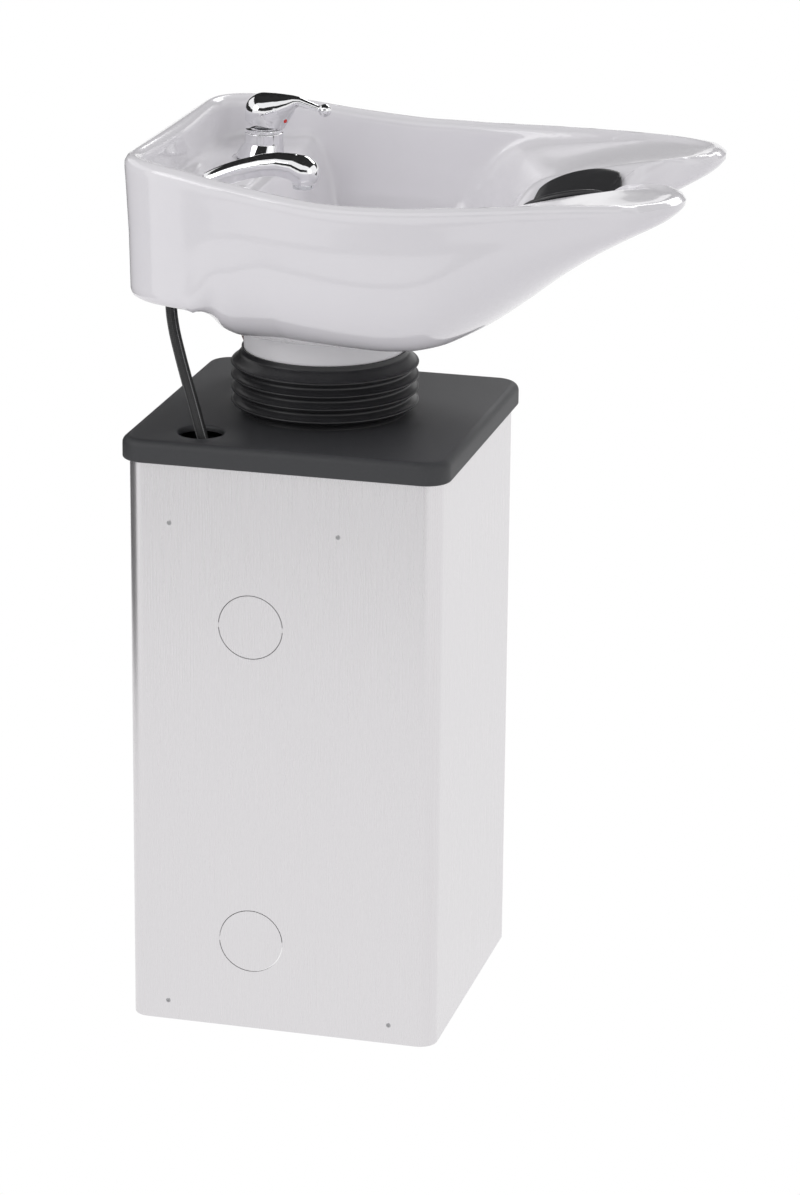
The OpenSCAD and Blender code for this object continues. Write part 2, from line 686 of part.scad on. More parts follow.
module top_plate() {
    color("dimgray") translate([0, 0, top_plate_z]) difference() {
        linear_extrude(top_plate_t) rounded_square(casing_in - fit, casing_in_r - fit);
        translate([0, 0, -cut]) {
            cylinder(r = drain_pass_r, h = top_plate_t + 2*cut);
            for (s = [-1, 1]) translate([-hose_hole_x, s*hose_hole_y, 0])
                cylinder(r = hose_pass_r, h = top_plate_t + 2*cut);
            at_corners(lower_bolt_x, lower_bolt_y)
                cylinder(r = bolt_r + bolt_play, h = top_plate_t + 2*cut);
            at_corners(cap_screw_x, cap_screw_y)
                cylinder(r = cap_screw_r + fit, h = top_plate_t + 2*cut);
        }
    }
}

// Places of the casing screws on the front face: sideways and height
function screw_places() = [[screw_inset_high_left - casing_w/2, casing_h - screw_high_drop],
    [casing_w/2 - screw_inset_high_right, casing_h - screw_high_drop],
    [screw_inset_low_left - casing_w/2, screw_low_z],
    [casing_w/2 - screw_inset_low_right, screw_low_z]];
module on_faces() {
    both_sides() for (p = screw_places())
        translate([p[0], casing_w/2, p[1]]) rotate([90, 0, 0]) children();
}
module screw_holes() {
    on_faces() translate([0, 0, -cut]) cylinder(r = casing_screw_r, h = casing_screw_len + cut, $fn = 24);
}

module casing() {
    color("silver") difference() {
        linear_extrude(casing_h) difference() {
            rounded_square(casing_w/2, casing_corner_r);
            rounded_square(casing_in, casing_in_r);
        }
        for (z = [knockout_low_z, knockout_high_z]) translate([knockout_x, -casing_w/2 - cut, z])
            along_y() cylinder(r = knockout_r, h = casing_wall + 2*cut);
        screw_holes();
    }
}

module knockout_discs() {
    color("silver") for (z = [knockout_low_z, knockout_high_z])
        translate([knockout_x, -casing_w/2, z]) along_y() intersection() {
            cylinder(r = knockout_r, h = casing_wall);
            union() {
                cylinder(r = knockout_r - knockout_seam, h = casing_wall);
                translate([-knockout_r, -knockout_tab/2, 0])
                    cube([2*knockout_r, knockout_tab, casing_wall]);
            }
        }
}

module casing_screws() {
    color("gainsboro") on_faces() {
        translate([0, 0, -casing_screw_head_h])
            cylinder(r1 = casing_screw_head_r*screw_face_share, r2 = casing_screw_head_r,
                h = casing_screw_head_h, $fn = 24);
        cylinder(r = casing_screw_r, h = casing_screw_len, $fn = 24);
    }
}

module cap_corner() {
    slope = cap_corner_r - cap_edge_r;
    rotate_extrude($fn = 32) polygon(concat([[0, 0], [cap_corner_r - cap_lower_edge_r, 0],
        [cap_corner_r, cap_lower_edge_r]],
        [for (a = [0:18:90]) [slope + cap_edge_r*cos(a), cap_t - cap_edge_r + cap_edge_r*sin(a)]],
        [[0, cap_t]]));
}
module cap() {
    place = cap_w/2 - cap_corner_r;
    hollow = cap_w/2 - cap_border;
    color("dimgray") translate([0, 0, casing_h]) difference() {
        hull() at_corners(place, place) cap_corner();
        translate([-hollow, -hollow, -cut]) cube([2*hollow, 2*hollow, cap_t - cap_skin + cut]);
        translate([0, 0, -cut]) {
            cylinder(r = column_hole_r, h = cap_t + 2*cut);
            for (s = [-1, 1]) translate([-hose_hole_x, s*hose_hole_y, 0])
                cylinder(r = hose_hole_r, h = cap_t + 2*cut);
            at_corners(cap_screw_x, cap_screw_y)
                cylinder(r = cap_screw_r, h = cap_screw_len - top_plate_t + 2*cut);
        }
    }
}

module cap_screws() {
    color("gray") translate([0, 0, top_plate_z])
        at_corners(cap_screw_x, cap_screw_y) {
            translate([0, 0, -cap_screw_head_h])
                cylinder(r = cap_screw_head_r, h = cap_screw_head_h, $fn = 24);
            cylinder(r = cap_screw_r, h = cap_screw_len, $fn = 24);
        }
}

// The bellows' outer line from the foot up to the neck
function bellows_line() = concat([[bellows_foot_r, cap_top]],
    [for (i = [0:bellows_folds - 1]) for (k = [0, 1])
        let (z = cap_top + bellows_first + i*bellows_pitch)
        if (k == 0 || i < bellows_folds - 1)
            k == 0 ? [bellows_crest_r, z] : [bellows_root_r, z + bellows_pitch/2]],
    [[bellows_neck_in_r + bellows_wall, last_crest_z + bellows_cone_h],
     [bellows_neck_in_r + bellows_wall, last_crest_z + bellows_cone_h + bellows_neck_h]]);
module bellows() {
    line = bellows_line();
    color("dimgray") rotate_extrude($fn = 96) {
        polygon(concat(line, [for (i = [len(line) - 1:-1:0]) [line[i][0] - bellows_wall, line[i][1]]]));
        translate([bellows_foot_in_r, cap_top])
            square([bellows_foot_r - bellows_foot_in_r, bellows_foot_t]);
    }
}

module ear(half_w, r, low_z, high_z, y, t, hole_r) {
    difference() {
        union() {
            translate([-half_w, y, low_z]) cube([2*half_w, t, high_z - low_z]);
            translate([0, y, pivot_z]) along_y() cylinder(r = r, h = t);
        }
        translate([0, y - cut, pivot_z]) along_y() cylinder(r = hole_r, h = t + 2*cut);
    }
}

module lower_bracket() {
    color("slategray") {
        difference() {
            translate([-lower_base_x, -lower_base_y, casing_h])
                cube([2*lower_base_x, 2*lower_base_y, bracket_t]);
            translate([0, 0, casing_h - cut]) {
                cylinder(r = drain_pass_r - fit, h = bracket_t + 2*cut);
                at_corners(lower_bolt_x, lower_bolt_y)
                    cylinder(r = bolt_r + bolt_play, h = bracket_t + 2*cut);
            }
        }
        both_sides() ear(ear_w/2, lower_ear_r, casing_h + bracket_t, pivot_z, lower_ear_y,
            lower_ear_t, pivot_r + pivot_fit);
    }
}

module bracket_bolts() {
    color("gray") at_corners(lower_bolt_x, lower_bolt_y) {
        translate([0, 0, bracket_top]) cylinder(r = bolt_head_r, h = bolt_head_h, $fn = 6);
        translate([0, 0, top_plate_z - bolt_head_h - 2*cut])
            cylinder(r = bolt_r, h = top_plate_t + bracket_t + bolt_head_h + 2*cut, $fn = 32);
    }
}

module bracket_nuts() {
    color("gray") at_corners(lower_bolt_x, lower_bolt_y)
        translate([0, 0, top_plate_z - bolt_head_h]) difference() {
            cylinder(r = bolt_head_r, h = bolt_head_h, $fn = 6);
            translate([0, 0, -cut]) cylinder(r = bolt_r, h = bolt_head_h + 2*cut, $fn = 32);
        }
}

module pivot_bolts() {
    inner_end = upper_ear_y - fit - pivot_nut_h;
    color("silver") both_sides() translate([0, 0, pivot_z]) {
        translate([0, inner_end, 0]) along_y() cylinder(r = pivot_r, h = lower_ear_out - inner_end);
        translate([0, lower_ear_out, 0]) along_y() cylinder(r = pivot_head_r, h = pivot_head_h, $fn = 6);
    }
}

module pivot_nuts() {
    color("silver") both_sides() translate([0, upper_ear_y - fit - pivot_nut_h, pivot_z])
        along_y() difference() {
            cylinder(r = pivot_head_r, h = pivot_nut_h, $fn = 6);
            translate([0, 0, -cut]) cylinder(r = pivot_r, h = pivot_nut_h + 2*cut);
        }
}

module friction_washers() {
    color("goldenrod") both_sides()
        translate([0, lower_ear_y - friction_washer_t, pivot_z])
            along_y() tube(washer_out_r, pivot_r + washer_play, friction_washer_t);
}

module upper_bracket() {
    plate_z = belly_z - bracket_t;
    color("slategray") {
        difference() {
            translate([-upper_plate_x, -upper_plate_y, plate_z])
                cube([2*upper_plate_x, 2*upper_plate_y, bracket_t]);
            translate([0, 0, plate_z - cut]) {
                cylinder(r = upper_plate_hole_r, h = bracket_t + 2*cut);
                at_corners(upper_bolt_x, upper_bolt_y)
                    cylinder(r = bolt_r + stud_play, h = bracket_t + 2*cut);
            }
        }
        both_sides() ear(upper_ear_r, upper_ear_r, pivot_z, plate_z, upper_ear_y, upper_ear_t, bush_r);
    }
}

module bracket_studs() {
    color("gray") at_corners(upper_bolt_x, upper_bolt_y) {
        translate([0, 0, belly_z - bracket_t - bolt_head_h])
            cylinder(r = bolt_head_r, h = bolt_head_h, $fn = 6);
        translate([0, 0, belly_z - bracket_t])
            cylinder(r = bolt_r, h = bracket_t + stud_depth - cut, $fn = 32);
    }
}

module pivot_bushes() {
    color("goldenrod") both_sides() translate([0, upper_ear_y, pivot_z])
        along_y() tube(bush_r, pivot_r + pivot_fit, upper_ear_t);
}

module collar() {
    low = pivot_z + collar_drop;
    color("white") translate([0, 0, low]) tube(collar_r, collar_r - collar_wall, belly_z - low);
}

module bowl() {
    color("white") difference() {
        bowl_skin();
        translate([-pocket_rear_x, -pocket_half_y, belly_z])
            cube([pocket_rear_x - pocket_mouth_x, 2*pocket_half_y, deck_z - deck_t - belly_z]);
        translate([-pocket_mouth_x - cut, -pocket_half_y, pocket_step_z])
            cube([pocket_mouth_x - pocket_front_x + cut, 2*pocket_half_y, deck_z - deck_t - pocket_step_z]);
        translate([0, 0, belly_z - cut]) {
            cylinder(r = waste_hole_r, h = floor_t + 2*cut);
            at_corners(upper_bolt_x, upper_bolt_y) cylinder(r = bolt_r + stud_play, h = stud_depth + cut);
        }
        translate([0, 0, basin_z]) cylinder(r = waste_flange_r + fit, h = spot_face_h);
        translate([-mixer_x, mixer_y, deck_z]) {
            translate([-foot_offset, 0, 0]) cylinder(r = spot_face_r, h = spot_face_h);
            translate([0, 0, -deck_t - cut]) cylinder(r = mixer_hole_r, h = deck_t + 2*cut);
        }
        translate([holder_x, spray_y, deck_z]) {
            cylinder(r = holder_flange_r + spot_play, h = spot_face_h);
            translate([0, 0, -deck_t - cut]) cylinder(r = holder_hole_r, h = deck_t + 2*cut);
        }
    }
}

module waste_flange() {
    color("silver") difference() {
        union() {
            translate([0, 0, basin_z])
                cylinder(r1 = waste_flange_r, r2 = waste_flange_r - waste_flange_t, h = waste_flange_t);
            translate([0, 0, waste_tail_z]) cylinder(r = waste_tube_r, h = basin_z - waste_tail_z);
        }
        translate([0, 0, waste_tail_z - cut])
            cylinder(r = waste_bore_r - strainer_ledge,
                h = basin_z - waste_tail_z + waste_flange_t + 2*cut);
        translate([0, 0, basin_z - strainer_t])
            cylinder(r = waste_bore_r, h = strainer_t + waste_flange_t + cut);
    }
}

module waste_strainer() {
    color("silver") translate([0, 0, basin_z - strainer_t]) {
        difference() {
            cylinder(r = strainer_r, h = strainer_t);
            for (k = [0, 1]) for (i = [0:5 + 6*k]) rotate([0, 0, 360*i/(6 + 6*k)])
                translate([strainer_r*strainer_hole_rings_share[k], 0, -cut])
                    cylinder(r = strainer_hole_r, h = strainer_t + 2*cut, $fn = 16);
        }
        translate([0, 0, strainer_t]) cylinder(r = strainer_knob_r, h = strainer_knob_h);
    }
}

module waste_seal() {
    color("black") translate([0, 0, belly_z - waste_seal_t])
        tube(waste_nut_r, waste_tube_r, waste_seal_t);
}

module waste_nut() {
    color("gray") translate([0, 0, belly_z - waste_seal_t - waste_nut_h]) difference() {
        cylinder(r = waste_nut_r, h = waste_nut_h, $fn = 6);
        translate([0, 0, -cut]) cylinder(r = waste_tube_r, h = waste_nut_h + 2*cut);
    }
}

module drain_hose() {
    rib_r = drain_hose_r + drain_hose_wall;
    smooth = clip_inset + clip_w + drain_rib_pitch;
    span = drain_hose_top - drain_hose_bottom - 2*smooth;
    ribs = floor(span/drain_rib_pitch);
    color("lightgray") rotate_extrude() {
        translate([drain_hose_r, drain_hose_bottom])
            square([drain_hose_wall, drain_hose_top - drain_hose_bottom]);
        for (i = [0:ribs - 1]) translate([rib_r - cut/2, drain_hose_bottom + smooth + i*drain_rib_pitch])
            square([drain_rib_h + cut/2, drain_rib_pitch/2]);
    }
}

module hose_clip(z) {
    r = drain_hose_r + drain_hose_wall;
    color("silver") translate([0, 0, z]) {
        tube(r + clip_t, r, clip_w);
        translate([r + clip_t + clip_screw_r - cut/2, -clip_screw_len/2, clip_w/2])
            along_y() cylinder(r = clip_screw_r, h = clip_screw_len, $fn = 24);
    }
}
module upper_hose_clip() {
    hose_clip(drain_hose_top - clip_inset - clip_w);
}
module lower_hose_clip() {
    hose_clip(drain_hose_bottom + clip_inset);
}

module bottle_trap() {
    inlet_r = drain_hose_r - fit/2;
    color("whitesmoke") difference() {
        union() {
            translate([0, 0, trap_top - trap_h]) cylinder(r = trap_r, h = trap_h);
            translate([0, 0, trap_top]) cylinder(r = inlet_r, h = trap_inlet_h);
        }
        translate([0, 0, trap_top - trap_h + trap_wall])
            cylinder(r = trap_r - trap_wall, h = trap_h - 2*trap_wall);
        translate([0, 0, trap_top - trap_wall - cut])
            cylinder(r = inlet_r - trap_inlet_wall, h = trap_inlet_h + trap_wall + 2*cut);
        translate([0, 0, trap_top - outlet_drop]) rotate([0, 90, 0])
            cylinder(r = outlet_r - outlet_wall, h = trap_r + cut);
    }
}

module outlet_pipe() {
    bend_z = trap_top - outlet_drop - outlet_bend_r;
    pipe_x = trap_r + outlet_bend_r;
    color("whitesmoke") difference() {
        union() {
            translate([pipe_x, 0, outlet_end_z]) cylinder(r = outlet_r, h = bend_z - outlet_end_z);
            translate([trap_r, 0, bend_z]) rotate([90, 0, 0])
                rotate_extrude(angle = 90) translate([outlet_bend_r, 0]) circle(outlet_r);
            translate([pipe_x - outlet_bend_r - fit/2, 0, trap_top - outlet_drop]) rotate([0, 90, 0])
                cylinder(r = outlet_r, h = fit/2);
        }
        translate([pipe_x, 0, outlet_end_z - cut])
            cylinder(r = outlet_r - outlet_wall, h = bend_z - outlet_end_z + cut);
        translate([trap_r, 0, bend_z]) rotate([90, 0, 0])
            rotate_extrude(angle = 90) translate([outlet_bend_r, 0]) circle(outlet_r - outlet_wall);
        translate([trap_r - cut, 0, trap_top - outlet_drop]) rotate([0, 90, 0])
            cylinder(r = outlet_r - outlet_wall, h = cut);
        cylinder(r = trap_r, h = casing_h);
    }
}

module spray_hose() {
    color("black") hose(spray_hose_route, spray_hose_r, hose_sides);
}
module hot_supply_hose() {
    color("silver") hose(hot_hose_route, supply_hose_r, supply_sides);
}
module cold_supply_hose() {
    color("silver") hose(cold_hose_route, supply_hose_r, supply_sides);
}

module supply_hose_nuts() {
    color("silver") for (route = [hot_hose_route, cold_hose_route]) let (end = route[len(route) - 1])
        translate([end[0], end[1], hose_nut_z]) difference() {
            cylinder(r = supply_nut_r, h = hose_end_z - hose_nut_z, $fn = 6);
            translate([0, 0, -cut]) cylinder(r = supply_nut_bore_r, h = supply_nut_bore_len + cut);
        }
}

module at_mixer() {
    translate([-mixer_x, mixer_y, 0]) children();
}

module mixer_gasket() {
    color("black") at_mixer() translate([-foot_offset, 0, deck_z]) difference() {
        cylinder(r = mixer_foot_r - cut, h = gasket_t);
        translate([foot_offset, 0, -cut]) cylinder(r = mixer_hole_r, h = gasket_t + 2*cut);
    }
}

module mixer_body() {
    stud_top = mixer_base_z + (cartridge_seat_z - mixer_base_z)/2;
    color("gainsboro") at_mixer() difference() {
        union() {
            hull() {
                translate([-foot_offset, 0, mixer_base_z]) cylinder(r = mixer_foot_r, h = foot_t);
                translate([-foot_offset/2, 0, mixer_base_z + foot_blend_h/2])
                    cylinder(r = (mixer_foot_r + mixer_r)/2 - cut, h = foot_t);
                translate([0, 0, mixer_base_z + foot_blend_h]) cylinder(r = mixer_r, h = foot_t);
            }
            translate([0, 0, mixer_base_z]) cylinder(r = mixer_r, h = mixer_top - mixer_base_z);
        }
        translate([0, 0, cartridge_seat_z]) cylinder(r = cartridge_r + cartridge_play, h = mixer_h);
        translate([0, -stud_offset_y, mixer_base_z - cut])
            cylinder(r = mixer_stud_r, h = stud_top - mixer_base_z + cut, $fn = 32);
    }
}

module cartridge() {
    color("lightgray") at_mixer() translate([0, 0, cartridge_seat_z]) difference() {
        cylinder(r = cartridge_r, h = mixer_top - cartridge_seat_z);
        translate([0, 0, mixer_top - carrier_h - cartridge_seat_z])
            cylinder(r = carrier_r + carrier_play, h = carrier_h + cut);
    }
}

module cartridge_nut() {
    color("gainsboro") at_mixer() translate([0, 0, mixer_top]) difference() {
        cylinder(r = ring_r, h = ring_h);
        translate([0, 0, -cut]) cylinder(r = carrier_r - cut, h = ring_h + 2*cut);
        for (i = [0:ring_slots - 1]) rotate([0, 0, 360*i/ring_slots])
            translate([ring_r - ring_slot_d, -ring_slot_w/2, ring_h/4])
                cube([ring_slot_d + cut, ring_slot_w, ring_h/2]);
    }
}

module mixer_stud() {
    stud_top = mixer_base_z + (cartridge_seat_z - mixer_base_z)/2;
    color("goldenrod") at_mixer() translate([0, -stud_offset_y, stud_top - mixer_stud_len])
        cylinder(r = mixer_stud_r, h = mixer_stud_len, $fn = 32);
}

module mixer_clamp() {
    color("gray") at_mixer() translate([0, 0, deck_z - deck_t - clamp_t]) difference() {
        cylinder(r = clamp_r, h = clamp_t);
        translate([0, clamp_hole_shift, -cut]) cylinder(r = clamp_hole_r, h = clamp_t + 2*cut);
        translate([0, -stud_offset_y, -cut]) cylinder(r = mixer_stud_r, h = clamp_t + 2*cut, $fn = 32);
    }
}

module mixer_stud_nut() {
    color("goldenrod") at_mixer() translate([0, -stud_offset_y, deck_z - deck_t - clamp_t - stud_nut_h])
        difference() {
            cylinder(r = stud_nut_r, h = stud_nut_h, $fn = 6);
            translate([0, 0, -cut]) cylinder(r = mixer_stud_r, h = stud_nut_h + 2*cut, $fn = 32);
        }
}

module lever_carrier() {
    slot_x = carrier_r - slot_rim;
    color("ivory") at_mixer() difference() {
        translate([0, 0, mixer_top - carrier_h]) cylinder(r = carrier_r, h = carrier_h - ring_gap);
        translate([-slot_x, -stem_w/2 - stem_play, stem_pivot_z - stem_foot - 2*cut])
            cube([2*slot_x, stem_w + 2*stem_play, carrier_h]);
        translate([0, -carrier_r, stem_pivot_z])
            along_y() cylinder(r = lever_pin_r, h = 2*carrier_r, $fn = 32);
    }
}

module lever_pin() {
    half = sqrt(carrier_r*carrier_r - lever_pin_r*lever_pin_r) - fit;
    color("silver") at_mixer() translate([0, -half, stem_pivot_z])
        along_y() cylinder(r = lever_pin_r, h = 2*half, $fn = 32);
}

module stem_block(side) {
    translate([-side/2, -side/2, stem_pivot_z - stem_foot]) cube([side, side, stem_h + stem_foot]);
}
module lever_stem() {
    color("goldenrod") at_mixer() difference() {
        stem_block(stem_w);
        translate([0, -stem_w, stem_pivot_z])
            along_y() cylinder(r = lever_pin_r + lever_pin_play, h = 2*stem_w, $fn = 32);
    }
}

module mixer_lever() {
    arm_x = lever_reach - lever_ball_r;
    front_z = mixer_top + ring_h + lever_front_gap;
    tilt = atan2(lever_rear_rise, 2*lever_dome_r);
    color("gainsboro") at_mixer() difference() {
        union() {
            translate([0, 0, lever_dome_z]) sphere(r = lever_dome_r);
            hull() {
                translate([lever_dome_r/2, 0, lever_dome_z + lever_dome_r/3])
                    sphere(r = lever_neck_r, $fn = 24);
                translate([lever_reach/2, 0, lever_ball_z + web_r]) sphere(r = lever_arm_r + cut, $fn = 24);
            }
            hull() {
                translate([lever_reach/2, 0, lever_ball_z + web_r]) sphere(r = lever_arm_r + cut, $fn = 24);
                translate([arm_x, 0, lever_ball_z]) sphere(r = lever_arm_r - cut, $fn = 24);
            }
            hull() {
                translate([lever_reach/2 - web_r, 0, lever_ball_z + web_r/2]) sphere(r = web_r/2, $fn = 24);
                translate([lever_dome_r - web_r, 0, lever_dome_z - web_r]) sphere(r = web_r, $fn = 24);
                translate([lever_dome_r - web_r, 0, front_z]) cylinder(r = web_r, h = cut, $fn = 24);
            }
            translate([lever_reach, 0, lever_ball_z]) sphere(r = lever_ball_r);
        }
        translate([lever_dome_r, 0, front_z]) rotate([0, tilt, 0])
            translate([-4*lever_dome_r, -2*lever_dome_r, -2*lever_dome_r])
                cube([6*lever_dome_r, 4*lever_dome_r, 2*lever_dome_r]);
        stem_block(stem_w);
        translate([button_x - button_t, 0, button_z])
            rotate([0, 90, 0]) cylinder(r = button_r, h = lever_dome_r);
    }
}

module index_button() {
    color("firebrick") at_mixer() translate([button_x - button_t, 0, button_z]) rotate([0, 90, 0])
        cylinder(r1 = button_r, r2 = button_r - button_proud, h = button_t + button_proud, $fn = 32);
}

// Places a solid drawn along a bow in the spray's upright plane, between two slopes
module bow(centre_x, centre_z, bow_r, low_slope, high_slope, r) {
    translate([centre_x, spray_y, centre_z]) rotate([90, 0, 0]) rotate([0, 0, 90 + low_slope])
        rotate_extrude(angle = high_slope - low_slope, $fn = 128) translate([bow_r, 0]) circle(r, $fn = 48);
}
// Turns a solid drawn up along Z so that it points up the spray's slope
module at_mouth(along) {
    translate([mouth_x + along*cos(spray_slope), spray_y, mouth_z + along*sin(spray_slope)])
        rotate([0, 90 - spray_slope, 0]) children();
}

module spray_handle() {
    color("gainsboro") difference() {
        union() {
            bow(bow_x, bow_z, spray_bow_r, spray_end_slope, spray_slope, spray_r);
            translate([bow_end_x, spray_y, bow_end_z]) sphere(r = spray_r);
            hull() {
                translate([bow_end_x, spray_y, bow_end_z]) sphere(r = spray_r, $fn = 24);
                translate([bow_end_x + head_reach, spray_y, bow_end_z - head_sink])
                    sphere(r = spray_head_r, $fn = 32);
            }
            translate([bow_end_x + head_reach, spray_y, bow_end_z - nozzle_drop])
                cylinder(r = nozzle_r + cut, h = nozzle_drop - head_sink);
        }
        at_mouth(hose_nut_len - cut) cylinder(r = spray_hose_r, h = handle_bore_len + cut);
    }
}

module spray_nozzle() {
    color("silver") translate([bow_end_x + head_reach, spray_y, bow_end_z - nozzle_drop - nozzle_h])
        difference() {
            cylinder(r = nozzle_r, h = nozzle_h);
            for (i = [0:nozzle_jets - 1]) rotate([0, 0, 360*i/nozzle_jets])
                translate([nozzle_r*nozzle_jet_ring_share, 0, -cut])
                    cylinder(r = nozzle_jet_r, h = nozzle_h/2 + cut, $fn = 16);
        }
}

module hose_nut() {
    color("gainsboro") at_mouth(0) tube(hose_nut_r, hose_nut_bore_r, hose_nut_len);
}

// The hose's stretch inside the holder, which comes out with the spray
module hose_lead() {
    centre = [mouth_x + holder_bend_r*sin(spray_slope), spray_y, lead_end_z];
    turns = 12;
    line = concat([for (i = [0:turns]) let (a = 90 - i*(90 - spray_slope)/turns)
            centre + holder_bend_r*[-sin(a), 0, cos(a)]],
        [[mouth_x + hose_nut_len*cos(spray_slope), spray_y, mouth_z + hose_nut_len*sin(spray_slope)]]);
    color("black") swept_tube(line, spray_hose_r, hose_sides);
}

module spray_holder() {
    bend_x = mouth_x + holder_bend_r*sin(spray_slope);
    bend_z = mouth_z - holder_bend_r*cos(spray_slope);
    color("gainsboro") difference() {
        union() {
            bow(bend_x, bend_z, holder_bend_r, spray_slope + fit, holder_low_slope, holder_tube_r);
            translate([holder_x, spray_y, deck_z]) cylinder(r = holder_flange_r, h = holder_flange_t);
            translate([holder_x, spray_y, holder_shank_z])
                cylinder(r = holder_shank_r, h = deck_z - holder_shank_z);
        }
        // The sleeve ends on the flange and leaves only the shank under it
        translate([holder_x, spray_y, holder_shank_z]) difference() {
            cylinder(r = holder_flange_r + spot_play, h = deck_z - holder_shank_z);
            translate([0, 0, -cut]) cylinder(r = holder_shank_r, h = deck_z - holder_shank_z + 2*cut);
        }
        bow(bend_x, bend_z, holder_bend_r, spray_slope - holder_bore_over_slope,
            holder_bore_slope, holder_bore_r);
    }
}

module holder_nut() {
    color("gray") translate([holder_x, spray_y, deck_z - deck_t - holder_nut_h]) difference() {
        cylinder(r = holder_nut_r, h = holder_nut_h, $fn = 6);
        translate([0, 0, -cut]) cylinder(r = holder_shank_r, h = holder_nut_h + 2*cut);
    }
}

// The rest's place at cell i, j, with its share of the full thickness
rest_mid_x = bowl_len*(rest_rear_share + rest_front_share)/2 - bowl_rear;
rest_half_x = bowl_len*(rest_front_share - rest_rear_share)/2;
rest_half_y = groove_half_w*rest_side_share;
function narrowed(s, t) = s*sqrt(1 - rest_corner_share*t*t);
function swell(s) = sqrt(max(0, 1 - pow(abs(s), 3)));
function rest_point(i, j, top) = let (s = 2*i/rest_cells_x - 1, t = 2*j/rest_cells_y - 1,
    x = rest_mid_x + rest_half_x*narrowed(s, t), y = rest_half_y*narrowed(t, s),
    low = inside_z(x, y) + rest_fit)
    [x, y, low + top*(rest_edge_t + (rest_t - rest_edge_t)*swell(s)*swell(t))];
module neck_rest() {
    row = rest_cells_y + 1;
    sheet = (rest_cells_x + 1)*row;
    low_sheet = [for (i = [0:rest_cells_x]) for (j = [0:rest_cells_y]) rest_point(i, j, 0)];
    high_sheet = [for (i = [0:rest_cells_x]) for (j = [0:rest_cells_y]) rest_point(i, j, 1)];
    // The edge of a sheet, anticlockwise from above
    edge = concat([for (i = [0:rest_cells_x - 1]) i*row],
        [for (j = [0:rest_cells_y - 1]) rest_cells_x*row + j],
        [for (i = [rest_cells_x:-1:1]) i*row + rest_cells_y],
        [for (j = [rest_cells_y:-1:1]) j]);
    flats = [for (i = [0:rest_cells_x - 1]) for (j = [0:rest_cells_y - 1]) for (half = [0, 1])
        let (a = i*row + j, b = a + row, c = b + 1, d = a + 1) half == 0 ? [a, b, c] : [a, c, d]];
    sides = [for (k = [0:len(edge) - 1]) for (half = [0, 1])
        let (a = edge[k], b = edge[(k + 1)%len(edge)]) half == 0
            ? [a, a + sheet, b + sheet] : [a, b + sheet, b]];
    color("dimgray") polyhedron(points = concat(low_sheet, high_sheet), faces = concat(flats, sides,
        [for (f = flats) [f[0] + sheet, f[2] + sheet, f[1] + sheet]]));
}

floor_plate();
corner_posts();
top_plate();
casing();
knockout_discs();
casing_screws();
cap();
cap_screws();
bellows();
lower_bracket();
bracket_bolts();
bracket_nuts();
pivot_bolts();
pivot_nuts();
friction_washers();
bottle_trap();
outlet_pipe();
lower_hose_clip();
drain_hose();
spray_hose();
hot_supply_hose();
cold_supply_hose();
supply_hose_nuts();
bowl();
upper_bracket();
bracket_studs();
pivot_bushes();
collar();
waste_flange();
waste_seal();
waste_nut();
upper_hose_clip();
waste_strainer();
mixer_gasket();
mixer_body();
cartridge();
cartridge_nut();
mixer_stud();
mixer_clamp();
mixer_stud_nut();
lever_carrier();
lever_pin();
mixer_lever();
lever_stem();
index_button();
spray_holder();
holder_nut();
spray_handle();
spray_nozzle();
hose_nut();
hose_lead();
neck_rest();
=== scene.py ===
import json
import math

import bpy
import numpy as np
from mathutils import Matrix, Vector

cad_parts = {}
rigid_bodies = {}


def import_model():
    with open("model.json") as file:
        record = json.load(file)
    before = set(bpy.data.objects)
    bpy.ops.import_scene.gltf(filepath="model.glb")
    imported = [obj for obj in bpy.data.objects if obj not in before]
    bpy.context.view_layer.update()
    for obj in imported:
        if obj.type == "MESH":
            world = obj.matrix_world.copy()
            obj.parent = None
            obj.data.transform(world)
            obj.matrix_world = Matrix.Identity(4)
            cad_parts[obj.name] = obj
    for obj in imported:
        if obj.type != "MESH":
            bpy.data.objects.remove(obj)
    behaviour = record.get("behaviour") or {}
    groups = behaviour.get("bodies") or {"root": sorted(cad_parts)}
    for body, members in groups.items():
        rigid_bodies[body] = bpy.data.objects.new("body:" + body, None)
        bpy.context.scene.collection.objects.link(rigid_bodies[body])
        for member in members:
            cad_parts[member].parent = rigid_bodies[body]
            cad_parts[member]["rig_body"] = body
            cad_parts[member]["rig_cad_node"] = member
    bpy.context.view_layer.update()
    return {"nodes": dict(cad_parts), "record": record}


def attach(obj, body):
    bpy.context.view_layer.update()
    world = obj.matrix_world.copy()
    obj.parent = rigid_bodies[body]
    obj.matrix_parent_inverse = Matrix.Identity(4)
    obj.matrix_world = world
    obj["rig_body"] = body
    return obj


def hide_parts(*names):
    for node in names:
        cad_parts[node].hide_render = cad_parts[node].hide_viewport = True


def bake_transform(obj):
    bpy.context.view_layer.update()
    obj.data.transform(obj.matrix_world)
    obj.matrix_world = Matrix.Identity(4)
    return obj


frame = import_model()
scene = bpy.context.scene
MM = 0.001

# Camera
CAMERA_PLACE = Vector((1.23373, -4.46127, 1.98721))
CAMERA_RIGHT = Vector((0.96773, 0.25181, 0.00939))
CAMERA_UP = Vector((-0.08778, 0.30197, 0.94927))
CAMERA_AHEAD = Vector((-0.23620, 0.91946, -0.31433))
CAMERA_LENS = 131.14
SENSOR = 36.0


